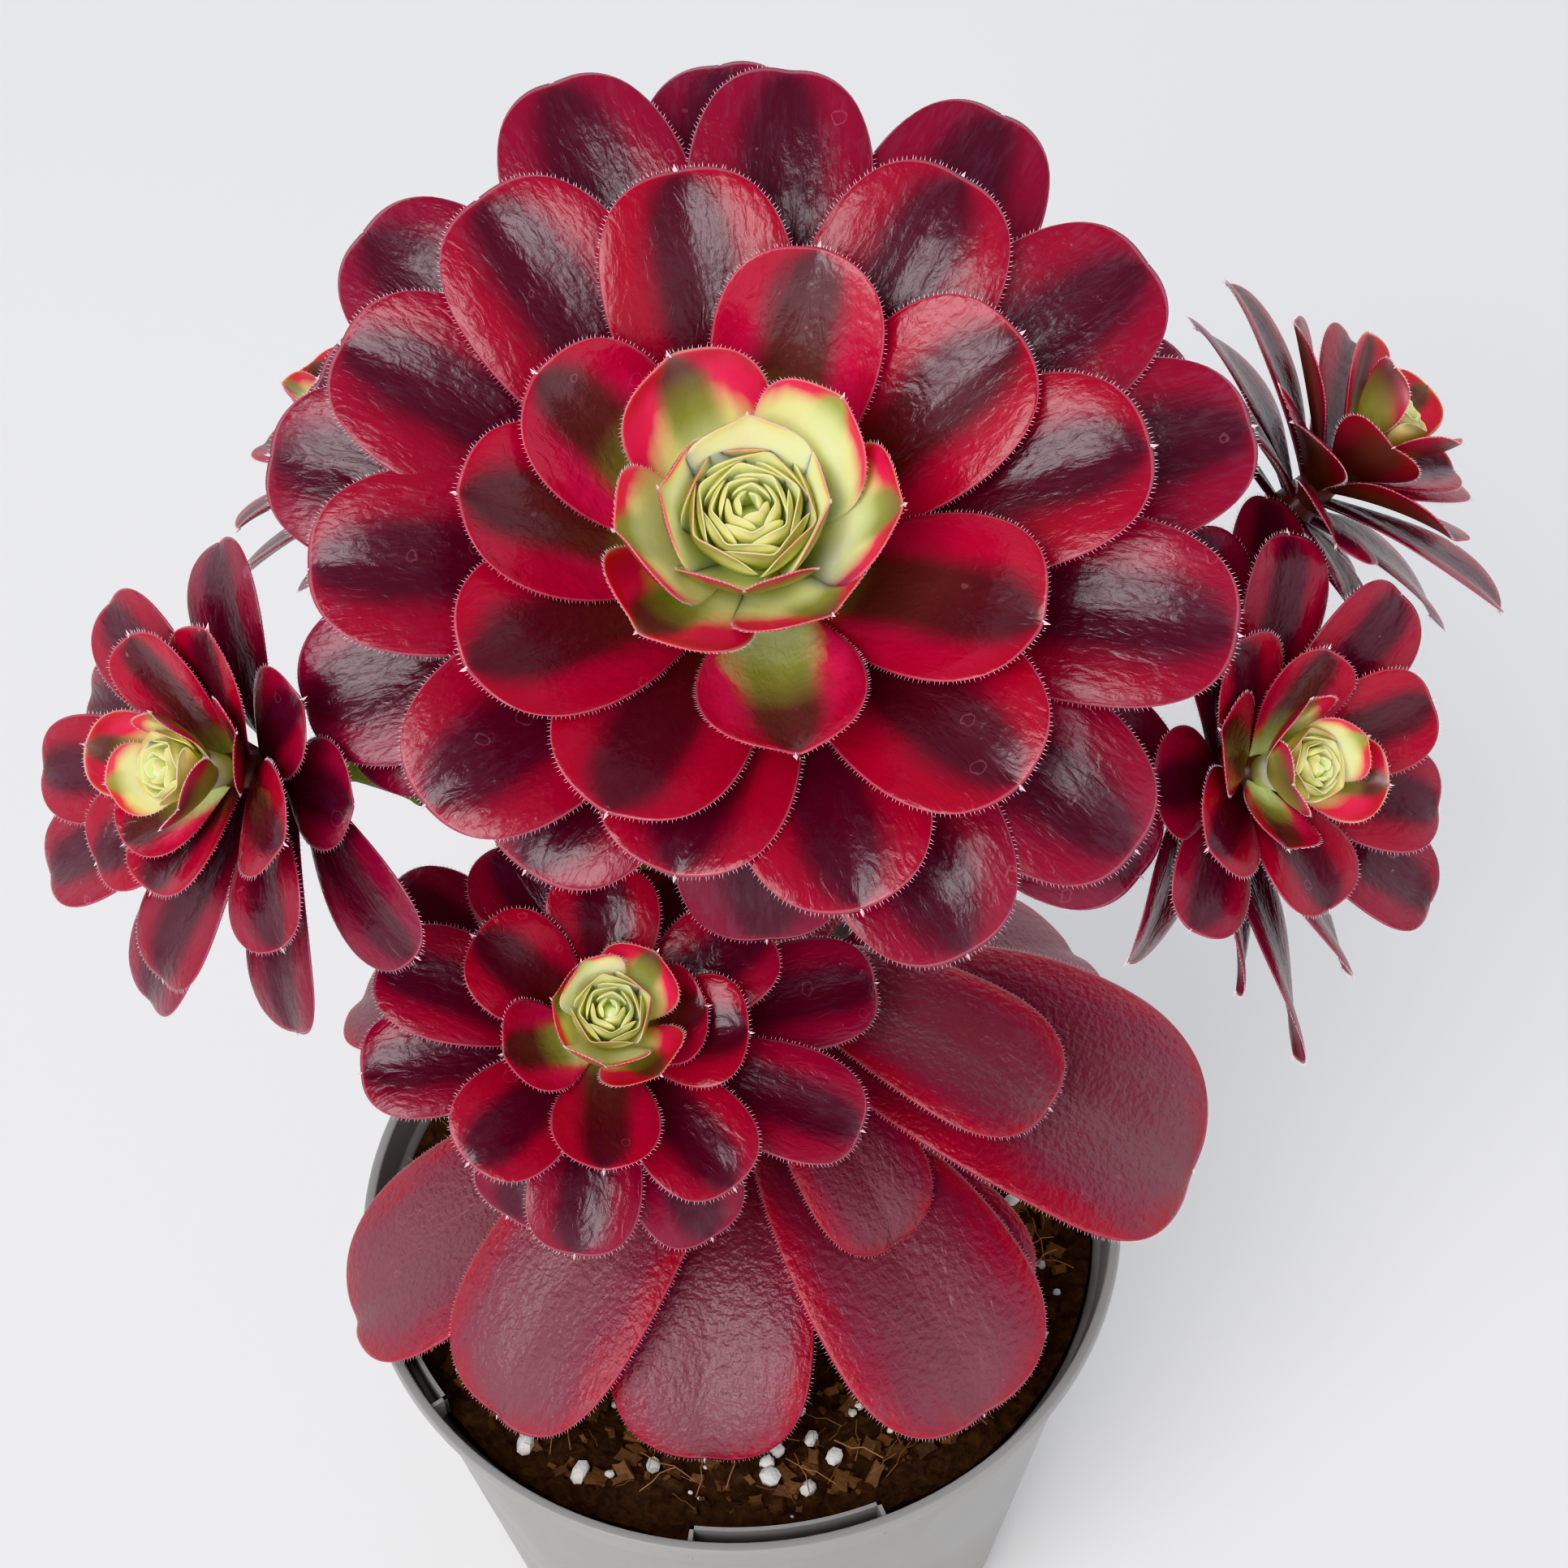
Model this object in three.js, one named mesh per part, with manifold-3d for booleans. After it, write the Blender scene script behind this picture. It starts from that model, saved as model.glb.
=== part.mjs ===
// Potted aeonium: a branched succulent with six crimson rosettes in a 17 cm nursery pot.
// Millimetres and degrees, +Z up, origin at the middle of the pot's base, the front faces -Y.

import * as THREE from "three";
import Module from "manifold-3d";

const wasm = await Module();
wasm.setup();

// Clearance between pieces that touch on the real plant.
const GAP = 0.3;

// Pot.
const POT_HEIGHT = 130;
const RIM_RADIUS = 85;
const RIM_WIDTH = 2.4;
const BAND_HEIGHT = 11;
const BAND_STEP = 1.8;
const BASE_RADIUS = 63;
const WALL = 1.7;
const FLOOR = 2.2;
const FOOT_LIFT = 2.5;
const FOOT_PAD_RADIUS = 20;
const FOOT_RING_RADIUS = 53;
const DRAIN_COUNT = 6;
const DRAIN_RADIUS = 5;
const DRAIN_RING_RADIUS = 36;
const POT_SIDES = 32;

// Pockets for a plant label, curved strips that stand off the inside of the rim.
const POCKET_STAND_OFF = 3;
const POCKET_THICKNESS = 0.9;
const POCKET_HEIGHT = 6;
const POCKET_DROP = 1.2;
const POCKETS = [
  { azimuth: -84, span: 29 },
  { azimuth: -152, span: 17 },
];

// Soil.
const SOIL_BELOW_RIM = 9;
const SOIL_TOP = POT_HEIGHT - SOIL_BELOW_RIM;
const SOIL_RINGS = 4;
const SOIL_BUMP = 1.2;
const GRAIN_COUNT = 18;
const GRAIN_SIZE = [1.8, 3.1];
const GRAIN_FROM_TRUNK = 20;
const GRAIN_FROM_WALL = 5;

// Trunk and branches.
const TRUNK_RADIUS = 7.5;
const TRUNK_TOP_RADIUS = 6.2;
const BRANCH_RADIUS = 4.2;
const BRANCH_TOP_RADIUS = 3.8;
const ROOT_DEPTH = 45;
const NECK_LENGTH = 14;
const BRANCH_SAG = 0.12;
const TRUNK_STEPS = 10;
const BRANCH_STEPS = 6;
const LIMB_SIDES = 7;
const CORE_SIDES = 6;
const GOLDEN_ANGLE = 137.5;

// Young leaves curl inward round the heart, and grown ones arch outward. A leaf sits lower than
// its place in the head by an opening that grows with its age, and by one more on the collar.
const YOUNG_CURL = 42;
const OLD_CURL = -26;
const ARCHED_BY_AGE = 0.5;
const LEAF_OPENING = [4, 9];
const COLLAR_OPENING = 5;

// The trunk's middle line, from the soil up to just under the main rosette.
const TRUNK_PATH = [
  [0, 5, SOIL_TOP - ROOT_DEPTH],
  [0, 5, SOIL_TOP],
  [2, 8, 170],
  [5, 15, 230],
  [7.5, 25, 270],
];

// A blade: a narrow claw that widens to a blunt round end with a small point. A fuller blade
// widens sooner above its claw.
const CLAW_SHARE = 0.13;
const WIDEST_AT = 0.71;
const END_POWER = 2.4;
const HEAD_FULLNESS = 0.25;
const OLD_FULLNESS = 1;
const POINT_LENGTH = 1.3;
const TIP_THINNING = 0.62;
const BROAD_STATIONS = [0, 0.36, 0.71, 0.88, 0.97];
const SMALL_STATIONS = [0, 0.36, 0.71, 0.93];
const BUD_STATIONS = [0, 0.6, 0.86];

// Rosettes. apex is the growing point. lean is the tilt of the axis from upright, from the heart
// to the oldest leaves, and toward is the compass direction of that tilt. Leaves stand in the
// order in which they grew, as azimuth round the axis, length of blade and, for a leaf that
// turns its face aside, its twist.
const HEADS = [
  {
    name: "main",
    apex: [8.6, 9.1, 319.5],
    lean: [24, 42],
    toward: -90,
    width: 34,
    drop: 15,
    rise: [72, 10],
    rootRadius: 5,
    claw: 2,
    coreRadius: 7.5,
    heartLeaves: 10,
    buds: 4,
    budHeight: 14,
    leaves: [
      [90, 26], [356, 23], [171, 25], [265, 24], [44, 34], [196, 34], [352, 36], [302, 33],
      [117, 37], [230, 38], [278, 53], [145, 50], [74, 54], [175, 55], [336, 58], [208, 59],
      [33, 60], [243, 59], [312, 68], [100, 67], [9, 72], [256, 62], [284, 69], [58, 74],
      [127, 77], [218, 72], [182, 76], [152, 79], [347, 84], [34, 84], [233, 66], [12, 88],
      [296, 77], [320, 82], [84, 85], [111, 90], [166, 85], [59, 89], [138, 89], [196, 81],
      [319, 86], [92, 88], [202, 77], [326, 85], [20, 84], [155, 84], [270, 66],
    ],
  },
  {
    name: "front",
    apex: [-21.7, -29, 233.7],
    lean: [20, 30],
    toward: -75,
    width: 22.5,
    drop: 13,
    rise: [72, 0],
    rootRadius: 2,
    claw: 1.5,
    coreRadius: 4.6,
    heartLeaves: 5,
    buds: 2,
    budHeight: 9,
    branchFrom: 186,
    leaves: [
      [124, 18], [265, 20], [168, 16], [52, 19], [307, 19], [199, 24], [10, 20],
      [267, 31], [147, 32], [357, 27], [93, 32], [224, 37], [307, 38], [33, 36],
      [163, 45], [119, 42], [339, 51], [187, 46], [261, 40], [12, 54], [298, 42],
      [143, 52], [64, 36], [90, 34], [240, 38],
    ],
  },
  {
    name: "left",
    apex: [-90.6, -7.6, 286],
    lean: [52, 60],
    toward: -142,
    width: 21,
    drop: 16,
    rise: [72, 12],
    rootRadius: 2,
    claw: 1.5,
    coreRadius: 4.6,
    heartLeaves: 4,
    buds: 2,
    budHeight: 8,
    branchFrom: 232,
    leaves: [
      [195, 17], [75, 17], [320, 18], [160, 22], [225, 22], [20, 20],
      [107, 30], [247, 26], [70, 29], [212, 33], [330, 28], [178, 44],
      [127, 41], [30, 24], [202, 53], [290, 34], [239, 46], [163, 48],
      [345, 24], [105, 42], [228, 62], [119, 38], [265, 50], [310, 44],
    ],
  },
  {
    name: "right",
    apex: [101.7, -10.4, 279.6],
    lean: [48, 56],
    toward: -45,
    width: 21,
    drop: 16,
    rise: [72, 12],
    rootRadius: 2,
    claw: 1.5,
    coreRadius: 4.6,
    heartLeaves: 4,
    buds: 2,
    budHeight: 8,
    branchFrom: 226,
    leaves: [
      [34, 17], [200, 17], [116, 20], [346, 20], [255, 18], [79, 26],
      [160, 24], [23, 35], [124, 30], [215, 25], [291, 29], [50, 44],
      [348, 41], [86, 44], [185, 24], [240, 32], [328, 52], [105, 45],
      [80, 50], [307, 48, 55], [276, 41, 50], [12, 48], [293, 61, 55], [245, 38, 40],
    ],
  },
  {
    name: "back_right",
    apex: [122, 45, 307],
    lean: [42, 50],
    toward: 15,
    width: 21,
    drop: 16,
    rise: [74, 6],
    rootRadius: 2,
    claw: 1.5,
    coreRadius: 4.6,
    heartLeaves: 4,
    buds: 2,
    budHeight: 8,
    branchFrom: 236,
    leaves: [
      [200, 18], [60, 18], [320, 19], [130, 22], [255, 22], [15, 24],
      [172, 30], [95, 34], [300, 30], [35, 36], [220, 30], [140, 42],
      [345, 42], [70, 44], [265, 27], [190, 34], [116, 48], [20, 50],
      [310, 22], [160, 36], [50, 48], [0, 40],
    ],
  },
  {
    name: "back_left",
    apex: [-67, 74, 297],
    lean: [40, 48],
    toward: 150,
    width: 20,
    drop: 16,
    rise: [74, 8],
    rootRadius: 2,
    claw: 1.5,
    coreRadius: 4.6,
    heartLeaves: 4,
    buds: 2,
    budHeight: 8,
    branchFrom: 242,
    leaves: [
      [170, 17], [35, 17], [290, 18], [110, 21], [240, 22],
      [0, 26], [150, 30], [70, 31], [310, 26], [205, 34], [120, 38],
      [30, 36], [265, 34], [180, 42], [90, 42], [335, 25], [230, 33],
      [145, 46], [50, 44], [290, 30],
    ],
  },
];

// Big old leaves low on the trunk. height is above the pot's base, azimuth is by compass.
const LOWER_LEAVES = [
  { height: 160, azimuth: -159, length: 97, width: 44, rise: 5, curl: -50 },
  { height: 172, azimuth: -130, length: 88, width: 43, rise: 0, curl: -45 },
  { height: 164, azimuth: -98, length: 77, width: 43, rise: 0, curl: -45 },
  { height: 170, azimuth: -55, length: 87, width: 48, rise: 5, curl: -50 },
  { height: 194, azimuth: -20, length: 98, width: 60, rise: 7, curl: -40 },
  { height: 205, azimuth: -32, length: 66, width: 34, rise: 10, curl: -30 },
  { height: 190, azimuth: -56, length: 56, width: 28, rise: -5, curl: -45 },
  { height: 158, azimuth: -38, length: 70, width: 30, rise: 10, curl: -40 },
  { height: 172, azimuth: 30, length: 90, width: 42, rise: 10, curl: -50 },
  { height: 182, azimuth: 78, length: 92, width: 44, rise: 8, curl: -50 },
  { height: 170, azimuth: 122, length: 88, width: 42, rise: 8, curl: -50 },
  { height: 188, azimuth: 165, length: 90, width: 42, rise: 8, curl: -45 },
];

const FINISH = {
  pot: { color: "#8b8783", roughness: 0.45 },
  soil: { color: "#36241a", roughness: 0.95 },
  bark: { color: "#6e6a37", roughness: 0.6 },
  heart: { color: "#c9cf62", roughness: 0.4 },
  leaf: { color: "#7c0f2c", roughness: 0.32 },
  oldLeaf: { color: "#7a3148", roughness: 0.4 },
};

const radians = THREE.MathUtils.degToRad;
const mix = THREE.MathUtils.lerp;
const vec = (point) => new THREE.Vector3(...point);

// A unit vector that leans from upright toward a compass direction.
function leaning(lean, toward) {
  const tilt = radians(lean);
  const compass = radians(toward);
  return new THREE.Vector3(
    Math.sin(tilt) * Math.cos(compass),
    Math.sin(tilt) * Math.sin(compass),
    Math.cos(tilt),
  );
}

// A closed solid from its vertices and its triangles of vertex numbers.
function solidFrom(vertices, triangles) {
  const mesh = new wasm.Mesh({
    numProp: 3,
    vertProperties: new Float32Array(vertices.flatMap((v) => [v.x, v.y, v.z])),
    triVerts: new Uint32Array(triangles.flat()),
  });
  return new wasm.Manifold(mesh);
}

// Skins a closed tube over rings of points. Each ring runs anticlockwise seen from the last one,
// and a ring of one point closes the end in a tip.
function skin(rings) {
  const vertices = rings.flat();
  const triangles = [];
  const sides = rings[0].length;
  for (let k = 1; k < sides - 1; k++) triangles.push([0, k + 1, k]);
  let start = 0;
  for (let i = 0; i < rings.length - 1; i++) {
    const next = start + sides;
    const pointed = rings[i + 1].length === 1;
    for (let k = 0; k < sides; k++) {
      const a = start + k;
      const b = start + ((k + 1) % sides);
      if (pointed) {
        triangles.push([a, b, next]);
      } else {
        triangles.push([a, b, next + k], [b, next + ((k + 1) % sides), next + k]);
      }
    }
    start = next;
  }
  if (rings.at(-1).length > 1) {
    for (let k = 1; k < sides - 1; k++) triangles.push([start, start + k, start + k + 1]);
  }
  return solidFrom(vertices, triangles);
}

// A ring of points round a centre, anticlockwise about its normal.
function ringAround(centre, normal, radius, sides) {
  const helper = Math.abs(normal.x) < 0.9 ? new THREE.Vector3(1, 0, 0) : new THREE.Vector3(0, 1, 0);
  const across = helper.clone().addScaledVector(normal, -helper.dot(normal)).normalize();
  const up = normal.clone().cross(across);
  return Array.from({ length: sides }, (_, k) => {
    const angle = (2 * Math.PI * k) / sides;
    return centre
      .clone()
      .addScaledVector(across, radius * Math.cos(angle))
      .addScaledVector(up, radius * Math.sin(angle));
  });
}

// A solid of revolution round Z from a closed profile of [radius, height] points.
function turned(profile, sides) {
  const points = profile.map(([radius, height]) => new THREE.Vector2(radius, height));
  const geometry = new THREE.LatheGeometry([...points, points[0]], sides);
  return solidFromGeometry(geometry.rotateX(Math.PI / 2));
}

// Merges the shared vertices of a three.js geometry and drops the faces that close up.
function solidFromGeometry(geometry) {
  const position = geometry.getAttribute("position");
  const index = geometry.index ? Array.from(geometry.index.array) : [...Array(position.count).keys()];
  const seen = new Map();
  const vertices = [];
  const merged = index.map((i) => {
    const point = new THREE.Vector3().fromBufferAttribute(position, i);
    const key = point.toArray().map((c) => Math.round(c * 1e4)).join();
    if (!seen.has(key)) {
      seen.set(key, vertices.length);
      vertices.push(point);
    }
    return seen.get(key);
  });
  const triangles = [];
  for (let i = 0; i < merged.length; i += 3) {
    const [a, b, c] = merged.slice(i, i + 3);
    if (a !== b && b !== c && a !== c) triangles.push([a, b, c]);
  }
  return solidFrom(vertices, triangles);
}

function joined(solids) {
  return wasm.Manifold.union(solids);
}

// The largest body of a solid, without loose scraps and with closed pockets filled.
function largestBody(solid) {
  const bodies = solid.decompose();
  return bodies.reduce((best, body) => (body.volume() > best.volume() ? body : best));
}

// Takes a neighbour out of a solid with clearance all round, and keeps the largest body left.
function cutClear(solid, neighbour) {
  let left = solid;
  for (const [x, y, z] of [[1, 0, 0], [-1, 0, 0], [0, 1, 0], [0, -1, 0], [0, 0, 1], [0, 0, -1]]) {
    left = left.subtract(neighbour.translate([x * GAP, y * GAP, z * GAP]));
  }
  return largestBody(left);
}

// Pot: a thin tapered cup with a wider band and lip at the rim, a raised drained floor
// round a middle pad, and two pockets for labels inside the rim.
function makePot() {
  const bandBottom = POT_HEIGHT - BAND_HEIGHT;
  const bodyTopRadius = RIM_RADIUS - RIM_WIDTH - BAND_STEP;
  const profile = [
    [0, 0],
    [FOOT_PAD_RADIUS, 0],
    [FOOT_PAD_RADIUS + 1.5, FOOT_LIFT],
    [FOOT_RING_RADIUS - 1.5, FOOT_LIFT],
    [FOOT_RING_RADIUS, 0],
    [BASE_RADIUS, 0],
    [bodyTopRadius, bandBottom],
    [bodyTopRadius + BAND_STEP, bandBottom + 1],
    [RIM_RADIUS - 0.8, POT_HEIGHT - 2.4],
    [RIM_RADIUS, POT_HEIGHT - 1.8],
    [RIM_RADIUS - 0.3, POT_HEIGHT],
    [RIM_RADIUS - RIM_WIDTH, POT_HEIGHT],
    [bodyTopRadius - WALL + BAND_STEP, bandBottom + 2.4],
    [bodyTopRadius - WALL, bandBottom + 1],
    [BASE_RADIUS - WALL, FOOT_LIFT + FLOOR],
    [0, FOOT_LIFT + FLOOR],
  ];
  let pot = turned(profile, POT_SIDES);
  for (let k = 0; k < DRAIN_COUNT; k++) {
    const angle = (2 * Math.PI * k) / DRAIN_COUNT;
    const hole = new THREE.CylinderGeometry(DRAIN_RADIUS, DRAIN_RADIUS, 4 * FLOOR, 10);
    hole.rotateX(Math.PI / 2);
    hole.translate(
      DRAIN_RING_RADIUS * Math.cos(angle),
      DRAIN_RING_RADIUS * Math.sin(angle),
      FOOT_LIFT + FLOOR / 2,
    );
    pot = pot.subtract(solidFromGeometry(hole));
  }
  return joined([pot, ...POCKETS.map(makePocket)]);
}

// One label pocket: a curved strip joined to the rim's inside by a web at each end.
function makePocket({ azimuth, span }) {
  const outer = RIM_RADIUS - RIM_WIDTH - POCKET_STAND_OFF;
  const inner = outer - POCKET_THICKNESS;
  const wall = RIM_RADIUS - RIM_WIDTH + 0.8;
  const half = radians(span / 2);
  const web = POCKET_THICKNESS / outer;
  const shape = new THREE.Shape();
  shape.absarc(0, 0, inner, -half, half, false);
  shape.lineTo(wall * Math.cos(half), wall * Math.sin(half));
  shape.lineTo(wall * Math.cos(half - web), wall * Math.sin(half - web));
  shape.absarc(0, 0, outer, half - web, -half + web, true);
  shape.lineTo(wall * Math.cos(-half + web), wall * Math.sin(-half + web));
  shape.lineTo(wall * Math.cos(-half), wall * Math.sin(-half));
  const strip = new THREE.ExtrudeGeometry(shape, {
    depth: POCKET_HEIGHT,
    bevelEnabled: false,
    curveSegments: 7,
  });
  strip.rotateZ(radians(azimuth));
  strip.translate(0, 0, POT_HEIGHT - POCKET_DROP - POCKET_HEIGHT);
  return solidFromGeometry(strip);
}

// The height of the soil's uneven top over a point.
function soilHeight(x, y) {
  const lump = Math.sin(x * 0.11 + 1.3) * Math.cos(y * 0.13) + 0.6 * Math.sin(x * 0.23 - y * 0.19);
  return SOIL_TOP + SOIL_BUMP * lump;
}

// Soil: fills the pot to just under the rim, with a plain hole for the trunk and pale grains
// of perlite half sunk in its top.
function makeSoil() {
  const floor = FOOT_LIFT + FLOOR + GAP;
  const topRadius = RIM_RADIUS - RIM_WIDTH - BAND_STEP - WALL - 2 * GAP;
  const bottomRadius = BASE_RADIUS - WALL - 1.3 - GAP;
  const profile = [[0, floor], [bottomRadius, floor], [topRadius, SOIL_TOP - 3]];
  for (let k = SOIL_RINGS; k >= 1; k--) profile.push([(topRadius * k) / SOIL_RINGS, SOIL_TOP]);
  profile.push([0, SOIL_TOP]);
  const geometry = new THREE.LatheGeometry(
    profile.map(([radius, height]) => new THREE.Vector2(radius, height)),
    POT_SIDES,
  ).rotateX(Math.PI / 2);
  const position = geometry.getAttribute("position");
  for (let i = 0; i < position.count; i++) {
    if (position.getZ(i) > SOIL_TOP - 1) {
      position.setZ(i, soilHeight(position.getX(i), position.getY(i)));
    }
  }
  const holeBottom = SOIL_TOP - ROOT_DEPTH - GAP;
  const holeRadius = TRUNK_RADIUS + GAP;
  const hole = skin([
    ringAround(vec(TRUNK_PATH[0]).setZ(holeBottom), leaning(0, 0), holeRadius, LIMB_SIDES),
    ringAround(vec(TRUNK_PATH[1]).setZ(SOIL_TOP + 9), leaning(0, 0), holeRadius, LIMB_SIDES),
  ]);
  const random = seeded(7);
  const grains = Array.from({ length: GRAIN_COUNT }, () => {
    const radius = mix(GRAIN_FROM_TRUNK, topRadius - GRAIN_FROM_WALL, Math.sqrt(random()));
    const angle = 2 * Math.PI * random();
    const size = mix(...GRAIN_SIZE, random());
    const x = radius * Math.cos(angle);
    const y = radius * Math.sin(angle);
    const grain = new THREE.OctahedronGeometry(size, 0);
    grain.scale(1, mix(0.7, 1.1, random()), 0.8);
    grain.rotateZ(angle * 5);
    grain.translate(x, y, soilHeight(x, y) + 0.2 * size);
    return solidFromGeometry(grain);
  });
  return largestBody(joined([solidFromGeometry(geometry), ...grains]).subtract(hole));
}

// A seeded random number maker, the same on every run.
function seeded(seed) {
  let state = seed;
  return () => {
    state = (state * 16807) % 2147483647;
    return state / 2147483647;
  };
}

// A round limb that tapers along a smooth curve through its points.
function makeLimb(points, radii, steps) {
  const curve = new THREE.CatmullRomCurve3(points);
  const rings = [];
  for (let i = 0; i <= steps; i++) {
    const t = i / steps;
    rings.push(ringAround(curve.getPointAt(t), curve.getTangentAt(t), mix(...radii, t), LIMB_SIDES));
  }
  return skin(rings);
}

// The middle of the trunk at a height above the pot's base.
function trunkAt(height) {
  const above = TRUNK_PATH.findIndex((point) => point[2] >= height);
  const [low, high] = [TRUNK_PATH[above - 1], TRUNK_PATH[above]];
  return vec(low).lerp(vec(high), (height - low[2]) / (high[2] - low[2]));
}

// The head's mean axis, and the point under its crown where its branch ends.
function crownSeat(head) {
  const axis = leaning((head.lean[0] + head.lean[1]) / 2, head.toward);
  const length = head.drop + 2 * head.coreRadius;
  return { axis, length, seat: vec(head.apex).addScaledVector(axis, -length) };
}

// Trunk: rises from the soil to the main rosette, with a branch for each other head.
function makeTrunk() {
  const limbs = HEADS.map((head) => {
    const { axis, seat } = crownSeat(head);
    const end = seat.clone().addScaledVector(axis, -GAP);
    const neck = seat.clone().addScaledVector(axis, -NECK_LENGTH);
    if (head.branchFrom === undefined) {
      const path = [...TRUNK_PATH.map(vec), neck, end];
      return makeLimb(path, [TRUNK_RADIUS, TRUNK_TOP_RADIUS], TRUNK_STEPS);
    }
    const start = trunkAt(head.branchFrom);
    const shoulder = start.clone().lerp(neck, 0.5);
    shoulder.z -= BRANCH_SAG * start.distanceTo(neck);
    const path = [start, shoulder, neck, end];
    return makeLimb(path, [BRANCH_RADIUS, BRANCH_TOP_RADIUS], BRANCH_STEPS);
  });
  return joined(limbs);
}

// The half width of a blade along its length, as a share of its greatest half width.
function bladeOutline(s, fullness) {
  if (s < WIDEST_AT) {
    const t = s / WIDEST_AT;
    return mix(CLAW_SHARE, 1, mix(t * t * (3 - 2 * t), 1 - (1 - t) ** 2, fullness));
  }
  return (1 - ((s - WIDEST_AT) / (1 - WIDEST_AT)) ** END_POWER) ** (1 / END_POWER);
}

// One leaf. It starts at root, points out by azimuth round axis, rises from the plane across
// the axis, curves by curl and turns about itself by twist over its length, with its edges
// lifted by cup.
function makeLeaf(leaf) {
  const { root, axis, azimuth, length, width, fullness, thickness, rise, curl, cup, stations } = leaf;
  const twist = radians(leaf.twist ?? 0);
  const east = new THREE.Vector3(1, 0, 0).addScaledVector(axis, -axis.x).normalize();
  const north = axis.clone().cross(east);
  const out = east
    .multiplyScalar(Math.cos(radians(azimuth)))
    .addScaledVector(north, Math.sin(radians(azimuth)));
  const turn = radians(curl);
  const start = radians(rise);
  const bend = length / turn;
  const along = (s) => {
    const angle = start + turn * s;
    return {
      centre: root
        .clone()
        .addScaledVector(out, bend * (Math.sin(angle) - Math.sin(start)))
        .addScaledVector(axis, bend * (Math.cos(start) - Math.cos(angle))),
      up: axis.clone().multiplyScalar(Math.cos(angle)).addScaledVector(out, -Math.sin(angle)),
      ahead: out.clone().multiplyScalar(Math.cos(angle)).addScaledVector(axis, Math.sin(angle)),
    };
  };
  const rings = stations.map((s) => {
    const { centre, up, ahead } = along(s);
    const half = (width / 2) * bladeOutline(s, fullness);
    const side = up.clone().cross(ahead);
    const spin = new THREE.Quaternion().setFromAxisAngle(ahead, -twist * s);
    side.applyQuaternion(spin);
    up.applyQuaternion(spin);
    const lift = cup * half;
    const thick = thickness * mix(1, TIP_THINNING, s);
    return [
      centre.clone().addScaledVector(side, half).addScaledVector(up, lift),
      centre.clone().addScaledVector(up, thick / 3),
      centre.clone().addScaledVector(side, -half).addScaledVector(up, lift),
      centre.clone().addScaledVector(up, (-2 * thick) / 3),
    ];
  });
  const end = along(1);
  rings.push([end.centre.addScaledVector(end.ahead, POINT_LENGTH)]);
  return skin(rings);
}

// The small upright leaves that close over the bud, at the golden angle.
function makeBudLeaves(head, axis) {
  return Array.from({ length: head.buds }, (_, k) => {
    const age = (k + 1) / head.buds;
    const length = head.budHeight * mix(1.05, 1.35, age);
    return makeLeaf({
      root: vec(head.apex).addScaledVector(axis, -1.5 * age),
      axis,
      azimuth: k * GOLDEN_ANGLE + 30,
      length,
      width: 0.95 * length,
      fullness: HEAD_FULLNESS,
      thickness: 1.4,
      rise: mix(66, 54, age),
      curl: 44,
      cup: 0.42,
      stations: BUD_STATIONS,
    });
  });
}

// How far below the growing point the grown leaves begin, past the ones by age alone.
function collarOf(head) {
  return 0.8 * head.coreRadius;
}

// The leaves of a head in the order in which they grew, each on its own seat on the crown.
function makeHeadLeaves(head) {
  return head.leaves.map(([azimuth, length, twist], i) => {
    const age = (i + 1) / head.leaves.length;
    const axis = leaning(mix(...head.lean, age), head.toward);
    const young = i < head.heartLeaves;
    const depth = head.drop * age + (young ? 0 : collarOf(head));
    const opening = mix(...LEAF_OPENING, age) + (young ? 0 : COLLAR_OPENING);
    const chord = mix(...head.rise, age ** 0.75) - opening;
    const curl = mix(YOUNG_CURL, OLD_CURL, THREE.MathUtils.smoothstep(age, 0, ARCHED_BY_AGE));
    return makeLeaf({
      root: vec(head.apex).addScaledVector(axis, -depth),
      axis,
      azimuth,
      length: length + head.rootRadius,
      width: head.width * mix(0.62, 1, Math.min(1, age / 0.4)),
      fullness: HEAD_FULLNESS,
      thickness: (young ? 0.9 : 1.1) * head.claw,
      rise: chord - curl / 2,
      curl,
      twist,
      cup: mix(0.4, 0.14, age ** 0.5),
      stations: head.width > 30 && !young ? BROAD_STATIONS : SMALL_STATIONS,
    });
  });
}

// A head: its heart of young leaves round the bud, and the grown leaves below it. The two
// are separate bodies, each on its own length of the crown.
function makeHead(head) {
  const { axis, length: crownLength } = crownSeat(head);
  const stemPoint = (depth) => vec(head.apex).addScaledVector(axis, -depth);
  const ringAt = (depth, radius) => ringAround(stemPoint(depth), axis, radius, CORE_SIDES);
  const heartBottom = (head.drop * head.heartLeaves) / head.leaves.length + 1.5;
  const bud = skin([
    ringAt(heartBottom, 0.62 * head.coreRadius),
    ringAt(-0.35 * head.budHeight, 0.78 * head.budHeight),
    ringAt(-0.78 * head.budHeight, 0.52 * head.budHeight),
    [stemPoint(-head.budHeight)],
  ]);
  const crown = skin([
    ringAt(crownLength, 0.85 * head.coreRadius),
    ringAt(head.drop + collarOf(head), head.coreRadius),
    ringAt(heartBottom + GAP, 0.66 * head.coreRadius),
  ]);
  const leaves = makeHeadLeaves(head);
  const young = leaves.slice(0, head.heartLeaves);
  const grown = leaves.slice(head.heartLeaves);
  const heart = largestBody(joined([bud, ...makeBudLeaves(head, axis), ...young]));
  return { heart, leaves: cutClear(joined([crown, ...grown]), heart) };
}

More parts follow.
